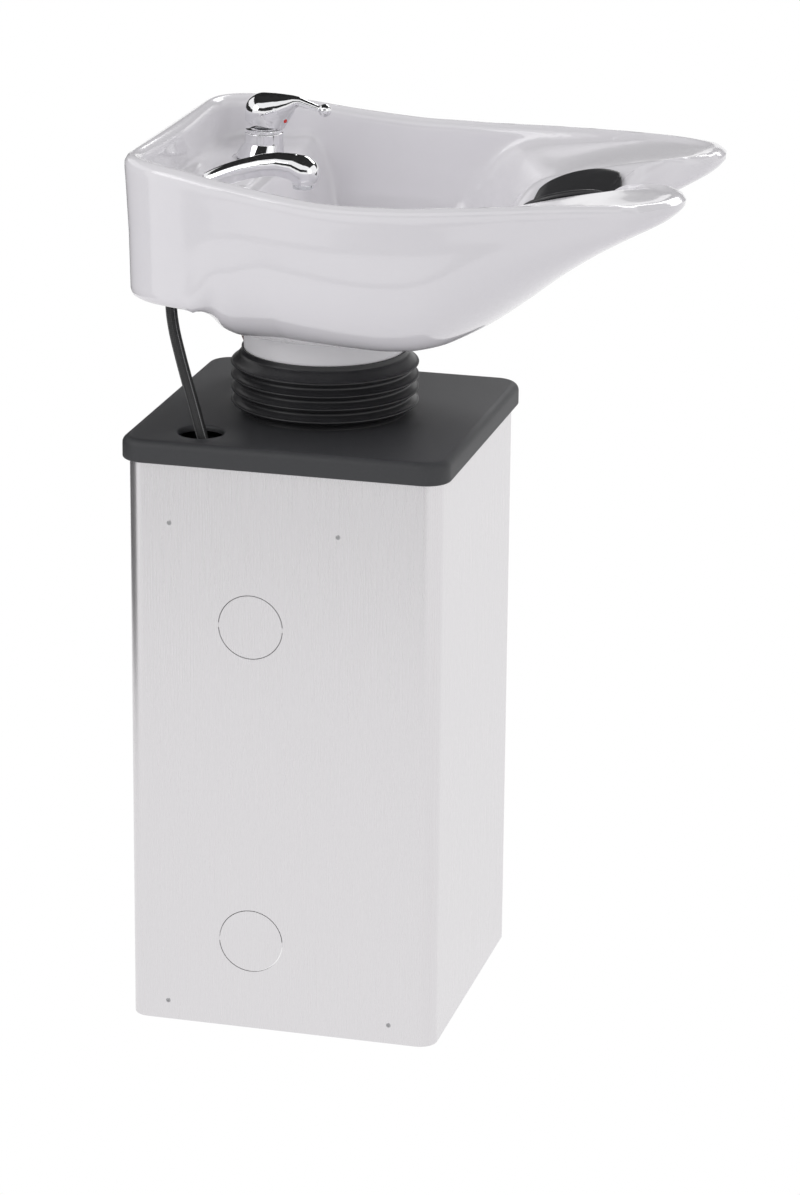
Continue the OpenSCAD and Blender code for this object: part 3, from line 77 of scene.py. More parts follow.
def add_camera():
    data = bpy.data.cameras.new("camera")
    data.lens = CAMERA_LENS
    data.sensor_width = SENSOR
    camera = bpy.data.objects.new("camera", data)
    scene.collection.objects.link(camera)
    turn = Matrix((CAMERA_RIGHT, CAMERA_UP, -CAMERA_AHEAD)).transposed()
    camera.matrix_world = Matrix.Translation(CAMERA_PLACE) @ turn.to_4x4()
    scene.camera = camera


add_camera()


# Working with objects the way a modeller does
def only(*objs):
    for o in bpy.context.selected_objects:
        o.select_set(False)
    for o in objs:
        o.select_set(True)
    bpy.context.view_layer.objects.active = objs[0]


def apply_modifiers(obj):
    only(obj)
    for m in list(obj.modifiers):
        bpy.ops.object.modifier_apply(modifier=m.name)


def settle(obj):
    """Puts the object's place into its mesh."""
    only(obj)
    bpy.ops.object.transform_apply(location=True, rotation=True, scale=True)


def smooth(obj, angle=35):
    only(obj)
    bpy.ops.object.shade_smooth_by_angle(angle=math.radians(angle))


def with_modifier(obj, kind, **settings):
    m = obj.modifiers.new(kind.lower(), kind)
    for key, value in settings.items():
        setattr(m, key, value)
    apply_modifiers(obj)
    return obj


def added(name):
    """The object that an operator has just added, under its own name."""
    obj = bpy.context.object
    obj.name = name
    return obj


def mesh_piece(name, points, faces, uvs=None):
    mesh = bpy.data.meshes.new(name)
    mesh.from_pydata([tuple(p) for p in points], [], faces)
    if uvs is not None:
        layer = mesh.uv_layers.new(name="UVMap")
        layer.data.foreach_set("uv", np.asarray(uvs, np.float32).ravel())
    mesh.validate()
    obj = bpy.data.objects.new(name, mesh)
    scene.collection.objects.link(obj)
    return obj


def normals_out(obj):
    only(obj)
    bpy.ops.object.mode_set(mode="EDIT")
    bpy.ops.mesh.select_all(action="SELECT")
    bpy.ops.mesh.remove_doubles(threshold=1e-6)
    bpy.ops.mesh.normals_make_consistent(inside=False)
    bpy.ops.object.mode_set(mode="OBJECT")


def node_copy(node, name):
    """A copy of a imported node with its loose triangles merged."""
    obj = frame["nodes"][node].copy()
    obj.data = obj.data.copy()
    obj.name = name
    obj.parent = None
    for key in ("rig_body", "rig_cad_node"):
        del obj[key]
    scene.collection.objects.link(obj)
    only(obj)
    bpy.ops.object.mode_set(mode="EDIT")
    bpy.ops.mesh.select_all(action="SELECT")
    bpy.ops.mesh.remove_doubles(threshold=1e-6)
    bpy.ops.object.mode_set(mode="OBJECT")
    return obj


def body_of_node(node):
    for body, members in frame["record"]["behaviour"]["bodies"].items():
        if node in members:
            return body
    raise ValueError(node)


def slot_of_node(node):
    for part in frame["record"]["subparts"]:
        if part["node"] == node:
            return part["material_slot"]
    raise ValueError(node)


def finished(obj, material, *nodes, ride=True):
    """Gives a piece its material and lets it stand for its nodes."""
    obj.data.materials.clear()
    obj.data.materials.append(material)
    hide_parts(*nodes)
    if ride:
        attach(obj, body_of_node(nodes[0]))
    return obj


# Shader node groups
def new_group(name, inputs, outputs):
    tree = bpy.data.node_groups.new(name, "ShaderNodeTree")
    for label, kind, value in inputs:
        socket = tree.interface.new_socket(label, in_out="INPUT", socket_type="NodeSocket" + kind)
        if value is not None:
            socket.default_value = value
    for label, kind in outputs:
        tree.interface.new_socket(label, in_out="OUTPUT", socket_type="NodeSocket" + kind)
    return tree, tree.nodes.new("NodeGroupInput"), tree.nodes.new("NodeGroupOutput")


def add_node(tree, kind, values=None, **settings):
    node = tree.nodes.new("ShaderNode" + kind)
    for key, value in settings.items():
        setattr(node, key, value)
    for key, value in (values or {}).items():
        node.inputs[key].default_value = value
    return node


def maths(tree, operation, a, b=None, clamp=False):
    node = add_node(tree, "Math", operation=operation, use_clamp=clamp)
    for i, v in enumerate((a, b)):
        if isinstance(v, (int, float)):
            node.inputs[i].default_value = v
        elif v is not None:
            tree.links.new(v, node.inputs[i])
    return node.outputs[0]


def make_mottle():
    """Slow patches from 0 to 1, and finer specks on them."""
    tree, start, end = new_group("mottle", [("Vector", "Vector", None), ("Patch", "Float", 6.0),
        ("Speck", "Float", 60.0)], [("Patches", "Float"), ("Specks", "Float")])
    for i, (label, detail) in enumerate((("Patch", 3.0), ("Speck", 4.0))):
        noise = add_node(tree, "TexNoise", {"Detail": detail, "Roughness": 0.6})
        tree.links.new(start.outputs["Vector"], noise.inputs["Vector"])
        tree.links.new(start.outputs[label], noise.inputs["Scale"])
        tree.links.new(noise.outputs["Fac"], end.inputs[i])
    return tree


def make_grain():
    """Raised pebbles with fine creases between them, as on moulded grain, and a mask of the hollows
    between them for painted shade.
    """
    tree, start, end = new_group("grain", [("Vector", "Vector", None), ("Scale", "Float", 700.0),
        ("Crease", "Float", 0.5)], [("Height", "Float"), ("Hollow_shade", "Float")])
    cells = add_node(tree, "TexVoronoi", {"Randomness": 0.9}, feature="DISTANCE_TO_EDGE")
    noise = add_node(tree, "TexNoise", {"Detail": 3.0, "Roughness": 0.6})
    bend = add_node(tree, "VectorMath", operation="MULTIPLY_ADD")
    bend.inputs[1].default_value = (0.0008, 0.0008, 0.0008)
    for node in (noise, bend):
        tree.links.new(start.outputs["Vector"], node.inputs["Vector" if node is noise else 2])
    tree.links.new(start.outputs["Scale"], noise.inputs["Scale"])
    tree.links.new(noise.outputs["Color"], bend.inputs[0])
    tree.links.new(bend.outputs[0], cells.inputs["Vector"])
    tree.links.new(start.outputs["Scale"], cells.inputs["Scale"])
    pebble = maths(tree, "POWER", maths(tree, "MULTIPLY", cells.outputs["Distance"], 2.2, clamp=True),
        start.outputs["Crease"])
    tree.links.new(maths(tree, "ADD", pebble, maths(tree, "MULTIPLY", noise.outputs["Fac"], 0.4)),
        end.inputs["Height"])
    # The hollows' mask only darkens colour there: painted shade in the creases
    tree.links.new(maths(tree, "SUBTRACT", 1.0, pebble), end.inputs["Hollow_shade"])
    return tree


def make_brushing():
    """Long fine lines left by brushing."""
    tree, start, end = new_group("brushing", [("Vector", "Vector", None), ("Lines", "Float", 1400.0)],
        [("Line", "Float")])
    stretch = add_node(tree, "VectorMath", operation="MULTIPLY")
    stretch.inputs[1].default_value = (1.0, 1.0, 0.006)
    tree.links.new(start.outputs["Vector"], stretch.inputs[0])
    fine = add_node(tree, "TexNoise", {"Detail": 5.0, "Roughness": 0.7})
    tree.links.new(stretch.outputs[0], fine.inputs["Vector"])
    tree.links.new(start.outputs["Lines"], fine.inputs["Scale"])
    tree.links.new(fine.outputs["Fac"], end.inputs["Line"])
    return tree


def make_braid():
    """Two sets of crossing yarns round a hose, from its own UV map, with two dotted tracer yarns."""
    tree, start, end = new_group("braid", [("UV", "Vector", None), ("Yarns", "Float", 12.0),
        ("Pitch", "Float", 1.0)], [("Height", "Float"), ("Gap", "Float"), ("Tracer", "Float")])
    axes = add_node(tree, "SeparateXYZ")
    tree.links.new(start.outputs["UV"], axes.inputs[0])
    around = maths(tree, "MULTIPLY", axes.outputs["X"], start.outputs["Yarns"])
    along = maths(tree, "MULTIPLY", axes.outputs["Y"], start.outputs["Pitch"])
    waves = []
    for sign in ("ADD", "SUBTRACT"):
        phase = maths(tree, "MULTIPLY", maths(tree, sign, around, along), math.tau)
        waves.append(maths(tree, "SINE", phase))
    weave = maths(tree, "MULTIPLY", waves[0], waves[1])
    height = maths(tree, "ADD", maths(tree, "MULTIPLY", weave, 0.5), 0.5)
    tree.links.new(height, end.inputs["Height"])
    # The gaps between the yarns: a mask for painted shade in the colour and for rougher gloss
    tree.links.new(maths(tree, "SUBTRACT", 1.0, height), end.inputs["Gap"])
    beside = maths(tree, "ABSOLUTE", maths(tree, "SUBTRACT",
        maths(tree, "FRACT", maths(tree, "MULTIPLY", axes.outputs["X"], 4.0)), 0.5))
    line = maths(tree, "LESS_THAN", beside, 0.045)
    dots = maths(tree, "GREATER_THAN", maths(tree, "FRACT", maths(tree, "MULTIPLY", along, 2.0)), 0.45)
    tree.links.new(maths(tree, "MULTIPLY", line, dots), end.inputs["Tracer"])
    return tree


MOTTLE = make_mottle()
GRAIN = make_grain()
BRUSHING = make_brushing()
BRAID = make_braid()


class Finish:
    """A material with its shader, and short ways to join nodes in it."""

    def __init__(self, name, color, roughness, metallic=0.0, uv=False, **sockets):
        self.material = bpy.data.materials.new(name)
        self.material.use_nodes = True
        self.tree = self.material.node_tree
        self.shader = self.tree.nodes["Principled BSDF"]
        self.shader.inputs["Base Color"].default_value = (*color, 1)
        self.shader.inputs["Roughness"].default_value = roughness
        self.shader.inputs["Metallic"].default_value = metallic
        for label, value in sockets.items():
            self.shader.inputs[label.replace("_", " ")].default_value = value
        self.coords = add_node(self.tree, "TexCoord").outputs["UV" if uv else "Object"]

    def group(self, tree, **values):
        node = self.tree.nodes.new("ShaderNodeGroup")
        node.node_tree = tree
        for label, value in values.items():
            node.inputs[label].default_value = value
        self.tree.links.new(self.coords, node.inputs[0])
        return node.outputs

    def color_between(self, fac, first, second):
        mix = add_node(self.tree, "Mix", data_type="RGBA")
        mix.inputs["A"].default_value = (*first, 1)
        mix.inputs["B"].default_value = (*second, 1)
        self.tree.links.new(fac, mix.inputs["Factor"])
        self.tree.links.new(mix.outputs["Result"], self.shader.inputs["Base Color"])
        return mix

    def roughness_between(self, fac, low, high):
        spread = add_node(self.tree, "MapRange", {"From Min": 0.3, "From Max": 0.7, "To Min": low,
            "To Max": high})
        self.tree.links.new(fac, spread.inputs["Value"])
        self.tree.links.new(spread.outputs["Result"], self.shader.inputs["Roughness"])

    def bump(self, height, strength, depth):
        node = add_node(self.tree, "Bump", {"Strength": strength, "Distance": depth})
        self.tree.links.new(height, node.inputs["Height"])
        self.tree.links.new(node.outputs["Normal"], self.shader.inputs["Normal"])


def make_glaze():
    f = Finish("white_glaze", (0.80, 0.79, 0.81), 0.1, Coat_Weight=0.35, Coat_Roughness=0.03)
    mottle = f.group(MOTTLE, Patch=5.0, Speck=220.0)
    f.color_between(mottle["Patches"], (0.82, 0.805, 0.84), (0.86, 0.845, 0.875))
    f.roughness_between(mottle["Specks"], 0.09, 0.16)
    f.bump(mottle["Patches"], 0.06, 0.002)
    return f.material


def make_chrome():
    f = Finish("polished_chrome", (0.83, 0.83, 0.85), 0.05, 1.0)
    mottle = f.group(MOTTLE, Patch=30.0, Speck=260.0)
    f.color_between(mottle["Patches"], (0.80, 0.80, 0.82), (0.88, 0.88, 0.89))
    f.roughness_between(mottle["Specks"], 0.03, 0.08)
    return f.material


def make_casing_steel():
    f = Finish("brushed_casing", (0.73, 0.72, 0.73), 0.34, 0.85)
    brush = f.group(BRUSHING)
    f.color_between(brush["Line"], (0.70, 0.685, 0.70), (0.80, 0.785, 0.80))
    f.roughness_between(brush["Line"], 0.24, 0.34)
    f.bump(brush["Line"], 0.10, 0.0002)
    return f.material


def make_black_top():
    f = Finish("grained_black", (0.045, 0.046, 0.05), 0.5)
    grain = f.group(GRAIN, Scale=900.0)
    # Painted shade: the grain's hollows are coloured darker than its pebbles
    f.color_between(grain["Hollow_shade"], (0.050, 0.051, 0.055), (0.030, 0.031, 0.034))
    f.roughness_between(grain["Height"], 0.44, 0.56)
    f.bump(grain["Height"], 0.35, 0.0003)
    return f.material


def make_rubber():
    f = Finish("black_rubber", (0.022, 0.022, 0.024), 0.34)
    mottle = f.group(MOTTLE, Patch=25.0, Speck=500.0)
    f.color_between(mottle["Patches"], (0.017, 0.017, 0.019), (0.027, 0.027, 0.029))
    f.roughness_between(mottle["Patches"], 0.32, 0.46)
    f.bump(mottle["Specks"], 0.12, 0.0002)
    return f.material


def make_soft_black():
    f = Finish("soft_black", (0.045, 0.045, 0.047), 0.26)
    grain = f.group(GRAIN, Scale=1500.0, Crease=0.35)
    # Painted shade: the grain's hollows are coloured darker than its pebbles
    f.color_between(grain["Hollow_shade"], (0.045, 0.045, 0.047), (0.025, 0.025, 0.027))
    f.roughness_between(grain["Height"], 0.20, 0.32)
    f.bump(grain["Height"], 0.12, 0.0002)
    return f.material


def make_sleeve(name, yarn, gap_shade, tracer, yarns, pitch, metallic=0.0):
    f = Finish(name, yarn, 0.45, metallic, uv=True)
    braid = f.group(BRAID, Yarns=yarns, Pitch=pitch)
    # Painted shade: the gaps between the yarns take the darker gap colour
    mix = f.color_between(braid["Gap"], yarn, gap_shade)
    marked = add_node(f.tree, "Mix", data_type="RGBA")
    marked.inputs["B"].default_value = (*tracer, 1)
    f.tree.links.new(braid["Tracer"], marked.inputs["Factor"])
    f.tree.links.new(mix.outputs["Result"], marked.inputs["A"])
    f.tree.links.new(marked.outputs["Result"], f.shader.inputs["Base Color"])
    f.roughness_between(braid["Gap"], 0.35, 0.65)
    f.bump(braid["Height"], 0.8, 0.0005)
    return f.material


def make_plain(name, first, second, low, high, metallic=0.0, patch=20.0, speck=300.0, depth=0.0002):
    """Painted, plated and moulded finishes: patches in the colour, specks in the gloss."""
    f = Finish(name, first, (low + high)/2, metallic)
    mottle = f.group(MOTTLE, Patch=patch, Speck=speck)
    f.color_between(mottle["Patches"], first, second)
    f.roughness_between(mottle["Specks"], low, high)
    f.bump(mottle["Specks"], 0.15, depth)
    return f.material


FINISHES = {
    "glazed_ceramic": make_glaze(),
    "brushed_casing": make_casing_steel(),
    "black_top": make_black_top(),
    "black_rubber": make_rubber(),
    "painted_steel": make_plain("powder_coat", (0.10, 0.10, 0.11), (0.14, 0.14, 0.15), 0.45, 0.6,
        speck=900.0),
    "zinc": make_plain("zinc_plate", (0.62, 0.63, 0.65), (0.74, 0.74, 0.75), 0.22, 0.36, 1.0),
    "bronze": make_plain("machined_bronze", (0.62, 0.45, 0.22), (0.72, 0.54, 0.30), 0.22, 0.4, 1.0),
    "white_plastic": make_plain("white_plastic", (0.87, 0.86, 0.88), (0.91, 0.90, 0.92), 0.28, 0.4),
    "grey_plastic": make_plain("grey_plastic", (0.56, 0.57, 0.59), (0.64, 0.65, 0.67), 0.35, 0.5),
    "chrome_plate": make_chrome(),
    "nozzle_plastic": make_plain("nozzle_plastic", (0.66, 0.67, 0.69), (0.74, 0.75, 0.77), 0.1, 0.2,
        0.8),
    "red_plastic": make_plain("red_mark", (0.55, 0.02, 0.02), (0.66, 0.04, 0.035), 0.15, 0.25),
    # Each sleeve's second colour is painted shade for the gaps between its yarns
    "black_braid": make_sleeve("black_braid", (0.035, 0.035, 0.037), (0.008, 0.008, 0.008),
        (0.42, 0.42, 0.43), 10.0, 10.0),
    "steel_braid": make_sleeve("steel_braid", (0.58, 0.52, 0.51), (0.16, 0.05, 0.05),
        (0.45, 0.10, 0.10), 12.0, 9.0, 0.6),
    "soft_black": make_soft_black(),
    "screw_steel": make_plain("screw_steel", (0.36, 0.36, 0.37), (0.46, 0.46, 0.47), 0.3, 0.45, 1.0),
}


# Hoses: the same routes as the model's own
SPRAY_ROUTE = [(-138, -100, 894), (-139, -100, 868), (-143, -100, 838), (-145, -101, 808),
    (-140, -108, 783), (-131, -116, 757), (-121, -124, 731), (-111, -131, 705), (-101, -138, 678),
    (-93, -139, 650), (-90, -135, 600), (-90, -130, 540), (-90, -130, 450), (-90, -126, 380),
    (-90, -106, 310), (-90, -62, 265), (-90, 0, 250), (-90, 62, 265), (-90, 106, 310),
    (-90, 126, 380), (-90, 130, 450), (-90, 130, 560), (-91, 131, 640), (-93, 130, 675),
    (-104, 122, 715), (-115, 114, 760), (-124, 108, 805), (-122, 104, 840), (-108, 102, 870),
    (-97, 106, 890), (-93, 107, 908), (-93, 107, 929)]
HOT_ROUTE = [(-104, 101, 929), (-104, 101, 908), (-108, 97, 890), (-115, 92, 868), (-124, 89, 840),
    (-129, 91, 800), (-129, 98, 762), (-125, 108, 725), (-115, 118, 695), (-108, 122, 670),
    (-104, 122, 640), (-90, 105, 560), (-60, 65, 400), (-45, 45, 200), (-45, 45, 110), (-45, 45, 74)]
COLD_ROUTE = [(-104, 111, 929), (-104, 111, 908), (-110, 113, 888), (-119, 115, 866),
    (-130, 117, 840), (-138, 118, 800), (-137, 120, 762), (-131, 124, 725), (-120, 132, 695),
    (-113, 137, 670), (-110, 137, 640), (-100, 118, 560), (-70, 83, 400), (-20, 68, 200),
    (-20, 68, 110), (-20, 68, 74)]
SPRAY_HOSE_R = 6.3*MM
SUPPLY_HOSE_R = 4.5*MM
HOSE_SIDES = 24
HOSE_STEP = 3*MM


def smooth_path(points, closed=False, steps=8):
    """Points on a smooth curve through the given ones."""
    p = np.array(points, float)
    n = len(p)
    spans = n if closed else n - 1
    i = np.arange(spans)
    pick = (lambda k: p[k % n]) if closed else (lambda k: p[np.clip(k, 0, n - 1)])
    a, b, c, d = pick(i - 1), pick(i), pick(i + 1), pick(i + 2)
    t = (np.arange(steps)/steps)[None, :, None]
    a, b, c, d = (q[:, None, :] for q in (a, b, c, d))
    line = 0.5*(2*b + (c - a)*t + (2*a - 5*b + 4*c - d)*t**2 + (3*b - a - 3*c + d)*t**3)
    line = line.reshape(-1, p.shape[1])
    return line if closed else np.vstack([line, p[-1]])


def evenly(line, step):
    gaps = np.linalg.norm(np.diff(line, axis=0), axis=1)
    along = np.concatenate([[0], np.cumsum(gaps)])
    places = np.linspace(0, along[-1], max(2, int(round(along[-1]/step)) + 1))
    return np.column_stack([np.interp(places, along, line[:, k]) for k in range(3)]), places


def hose_piece(name, line, radius, step=HOSE_STEP):
    """A round hose along a line, with a UV map that counts turns round it and its girths along it."""
    line, along = evenly(line, step)
    heading = np.gradient(line, axis=0)
    heading /= np.linalg.norm(heading, axis=1)[:, None]
    side = np.cross(heading[0], (1, 0, 0))
    points = []
    for place, ahead in zip(line, heading):
        side = side - ahead*np.dot(side, ahead)
        side /= np.linalg.norm(side)
        up = np.cross(ahead, side)
        turns = np.arange(HOSE_SIDES)*math.tau/HOSE_SIDES
        points.extend(place + radius*(np.cos(a)*side + np.sin(a)*up) for a in turns)
    faces, uvs = [], []
    girth = math.tau*radius
    for k in range(len(line) - 1):
        for s in range(HOSE_SIDES):
            a, b = k*HOSE_SIDES + s, k*HOSE_SIDES + (s + 1) % HOSE_SIDES
            faces.append((a, b, b + HOSE_SIDES, a + HOSE_SIDES))
            u0, u1 = s/HOSE_SIDES, (s + 1)/HOSE_SIDES
            v0, v1 = along[k]/girth, along[k + 1]/girth
            uvs += [(u0, v0), (u1, v0), (u1, v1), (u0, v1)]
    for first, order in ((0, -1), ((len(line) - 1)*HOSE_SIDES, 1)):
        faces.append(tuple(first + s for s in range(HOSE_SIDES))[::order])
        uvs += [(0.5, 0.5)]*HOSE_SIDES
    obj = mesh_piece(name, points, faces, uvs)
    smooth(obj, 60)
    return obj


def add_hoses():
    for name, route, radius, node in (("spray_hose_sleeve", SPRAY_ROUTE, SPRAY_HOSE_R, "spray_hose"),
            ("hot_hose_sleeve", HOT_ROUTE, SUPPLY_HOSE_R, "hot_supply_hose"),
            ("cold_hose_sleeve", COLD_ROUTE, SUPPLY_HOSE_R, "cold_supply_hose")):
        hose = hose_piece(name, smooth_path(np.array(route)*MM), radius)
        finished(hose, FINISHES[slot_of_node(node)], node, ride=False)
        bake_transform(hose)


add_hoses()


def add_drain_hose():
    """A smooth-shaded copy of the drain hose, left on no body."""
    drain = node_copy("drain_hose", "drain_rubber")
    smooth(drain, 40)
    finished(drain, FINISHES[slot_of_node("drain_hose")], "drain_hose", ride=False)
    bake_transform(drain)


add_drain_hose()


# The bowl, from the same tables as the model but with smooth lines between their points
BOWL_LEN, BOWL_REAR, BOWL_W = 600.0, 181.0, 464.0
RIM_Z, BELLY_Z, RIM_RISE, NECK_DROP = 958.0, 770.0, 25.0, 50.0
SEAT_R, FLOOR_T, DECK_Z, DECK_T = 93.0, 17.0, 928.0, 14.0
RIM_W, RIM_ROLL, LIP_OUT, RIM_IN_DROP = 21.0, 9.0, 4.5, 8.0
GROOVE_DEPTH, GROOVE_HALF_W, BLEND_SOFT = 42.0, 72.0, 18.0
SHOULDER_WRAP, SKIRT_WRAP, SEAT_BLEND = 60.0, 30.0, 0.12
WASTE_HOLE_R, WASTE_SEAT_R = 21.0, 33.3
RIM_SPAN = RIM_Z - BELLY_Z
BASIN_Z = BELLY_Z + FLOOR_T
OUTLINE = [(0.854, 0, 0.10, 1.00), (0.855, 0.080, 0.12, 0.84), (0.862, 0.152, 0.16, 0.50),
    (0.880, 0.210, 0.22, 0.20), (0.910, 0.248, 0.28, 0.05), (0.948, 0.282, 0.34, 0),
    (0.980, 0.348, 0.38, 0), (0.998, 0.440, 0.39, 0), (1.000, 0.530, 0.39, 0),
    (0.987, 0.640, 0.36, 0), (0.958, 0.715, 0.34, 0), (0.918, 0.766, 0.33, 0),
    (0.859, 0.808, 0.32, 0), (0.800, 0.845, 0.29, 0), (0.716, 0.897, 0.21, 0),
    (0.632, 0.944, 0.12, 0), (0.548, 0.978, 0.03, 0), (0.464, 0.998, 0.01, 0),
    (0.397, 0.996, 0.03, 0), (0.329, 0.980, 0.17, 0), (0.262, 0.956, 0.35, 0),
    (0.195, 0.932, 0.57, 0), (0.128, 0.900, 0.80, 0), (0.077, 0.858, 0.92, 0),
    (0.040, 0.806, 0.98, 0), (0.0134, 0.731, 1, 0), (0.0017, 0.637, 1, 0), (0, 0.495, 1, 0),
    (0, 0.323, 1, 0), (0, 0.155, 1, 0), (0, 0, 1, 0)]
KEEL = [(0, .300), (.10, .290), (.12, .255), (.135, .15), (.15, .06), (.165, .02), (.19, 0),
    (.464, 0), (.523, .014), (.575, .055), (.615, .115), (.662, .207), (.724, .358), (.792, .520),
    (.876, .683), (.960, .815), (1, .865)]
BELLY = [(0, 0), (.11, 0), (.15, .22), (.25, .24), (.36, .20), (.48, .14), (.60, .08), (.74, 0),
    (1, 0)]
OUTER_CURVE = [(0, 24), (.11, 16), (.155, 6), (.25, 4.5), (.55, 4.2), (.70, 3.2), (1, 3.2)]
INNER_CURVE = [(0, 14), (.15, 14), (.20, 6), (.26, 3.6), (.60, 3.6), (.72, 5), (1, 5)]
DECK = [(0, 1), (.175, 1), (.188, .97), (.2015, .80), (.215, .50), (.232, .12), (.2486, -.20)]
SHOULDER = [(.514, -.25), (.548, .04), (.5815, .32), (.615, .58), (.640, .73), (.666, .82),
    (.691, .862), (.721, .887), (.795, .941), (.842, .968), (.884, .990), (.955, 1.005), (1, 1.010)]
GROOVE = [(.60, 0), (.67, 1)]
RIM_DIP = [(0, 1), (.70, 1), (.86, .2), (1, .2)]
BOWL_RINGS = 130
PROFILE_STEP = 1.0
PROFILE_SOFT = 1.6
# Places along a wall's section crowd towards the rim, stop just short of it, and the outer
# wall leaves its curve for the lip a little earlier
WALL_STEPS, WALL_CROWDING, WALL_END, LIP_START = 240, 0.35, 0.9995, 0.99
# Up the lip: shares of the way out and of the rise
LIP_RISE = ((0, 0.45), (0.6, 0.8), (1, 1))
WASTE_LEDGE = 3.0


def table_line(table):
    """A smooth line through a table's points that doesn't overshoot between them."""
    t = np.array(table, float)
    x, y = t[:, 0], t[:, 1]
    rise = np.diff(y)/np.diff(x)
    slope = np.zeros(len(x))
    for k in range(1, len(x) - 1):
        a, b = rise[k - 1], rise[k]
        slope[k] = 2*a*b/(a + b) if a*b > 0 else 0

    def at(v):
        v = np.clip(v, x[0], x[-1])
        k = np.clip(np.searchsorted(x, v) - 1, 0, len(x) - 2)
        h = x[k + 1] - x[k]
        s = (v - x[k])/h
        return (y[k]*(1 + 2*s)*(1 - s)**2 + slope[k]*h*s*(1 - s)**2
            + y[k + 1]*s*s*(3 - 2*s) + slope[k + 1]*h*s*s*(s - 1))
    return at


keel, belly, deck = table_line(KEEL), table_line(BELLY), table_line(DECK)
shoulder_line = table_line(SHOULDER)
outer_curve, inner_curve = table_line(OUTER_CURVE), table_line(INNER_CURVE)
groove_line, rim_dip_line = table_line(GROOVE), table_line(RIM_DIP)


def smax(a, b, soft):
    return (a + b + np.sqrt((a - b)**2 + soft*soft))/2


def wall_curve(u, n):
    return 1 - np.maximum(0, 1 - np.minimum(u, 1)**n)**(1/n)


def len_share(x):
    return (x + BOWL_REAR)/BOWL_LEN


def under_x(x, y):
    return np.where(x < 0, x - SKIRT_WRAP*(2*y/BOWL_W)**2, x)


def rim_dip(x):
    return RIM_IN_DROP*rim_dip_line(len_share(x))


def floor_at(x, y):
    floor = BASIN_Z + np.where(x > 0, keel(len_share(x))*RIM_SPAN, 0)
    tap_deck = BASIN_Z + deck(len_share(x))*(DECK_Z - BASIN_Z)
    groove = GROOVE_DEPTH*groove_line(len_share(x))*(1 + np.cos(math.pi*np.minimum(
        np.abs(y)/GROOVE_HALF_W, 1)))/2
    wrapped = len_share(x + SHOULDER_WRAP*(2*y/BOWL_W)**2)
    shoulder = BELLY_Z + shoulder_line(wrapped)*RIM_SPAN - groove
    return smax(smax(floor, tap_deck, BLEND_SOFT), shoulder, BLEND_SOFT)


def inner_z(x, y, u, top):
    base = floor_at(x, y)
    return base + (top - rim_dip(x) - base)*wall_curve(u, inner_curve(len_share(x)))


def outer_z(x, y, u, top):
    place = len_share(under_x(x, y))
    low = BELLY_Z + np.minimum(1, u/SEAT_BLEND)*keel(place)*RIM_SPAN + u*belly(place)*RIM_SPAN
    return low + (top - low)*wall_curve(u, outer_curve(place))


def rim_line():
    half = [(p[0]*BOWL_LEN - BOWL_REAR, p[1]*BOWL_W/2, RIM_Z + p[2]*RIM_RISE - p[3]*NECK_DROP)
        for p in OUTLINE]
    other = [(x, -y, z) for x, y, z in half[-2:0:-1]]
    return smooth_path(half + other, closed=True, steps=6)


def rim_column(p):
    """The bowl's section on the ray through a rim point, as reach and height, from bore to bore."""
    reach = math.hypot(p[0], p[1])
    cx, cy, top = p[0]/reach, p[1]/reach, p[2]
    turn = np.linspace(0, math.pi/2, WALL_STEPS)
    u = np.sin(turn)**WALL_CROWDING*WALL_END
    r = SEAT_R + u*(reach - LIP_OUT - SEAT_R)
    z = outer_z(r*cx, r*cy, u, top - RIM_ROLL)
    keep = u < LIP_START
    low = np.interp(LIP_START, u, z)
    out = [(WASTE_HOLE_R, BELLY_Z), (SEAT_R - 1, BELLY_Z)] + list(zip(r[keep], z[keep]))
    lip_top = top - RIM_ROLL
    for out_share, up in LIP_RISE:
        out.append((reach - LIP_OUT*(1 - out_share), low + (lip_top - low)*up))
    dip = float(rim_dip(p[0]))
    for share, drop in ((0.07, RIM_ROLL*0.5), (0.25, RIM_ROLL*0.12), (0.5, 0), (0.78, dip*0.25),
            (1, dip)):
        out.append((reach - RIM_W*share, top - drop))
    far = reach - RIM_W
    u = np.cos(turn[1:])**WALL_CROWDING*WALL_END
    r = u*far
    z = inner_z(r*cx, r*cy, u, top)
    keep = r > WASTE_SEAT_R + WASTE_LEDGE
    out += list(zip(r[keep], z[keep])) + [(WASTE_SEAT_R, BASIN_Z), (WASTE_HOLE_R, BASIN_Z)]
    line = np.array(out, float)
    gaps = np.linalg.norm(np.diff(line, axis=0), axis=1)
    along = np.concatenate([[0], np.cumsum(gaps)])
    fine = np.linspace(0, along[-1], int(along[-1]/PROFILE_STEP))
    line = np.column_stack([np.interp(fine, along, line[:, k]) for k in (0, 1)])
    width = int(4*PROFILE_SOFT)
    kernel = np.exp(-0.5*(np.arange(-width, width + 1)/PROFILE_SOFT)**2)
    kernel /= kernel.sum()
    padded = np.pad(line, ((width, width), (0, 0)), mode="edge")
    soft = np.column_stack([np.convolve(padded[:, k], kernel, mode="valid") for k in (0, 1)])
    soft[:width], soft[-width:] = line[:width], line[-width:]
    pick = np.linspace(0, len(soft) - 1, BOWL_RINGS)
    line = np.column_stack([np.interp(pick, np.arange(len(soft)), soft[:, k]) for k in (0, 1)])
    return np.column_stack([line[:, 0]*cx, line[:, 0]*cy, line[:, 1]])


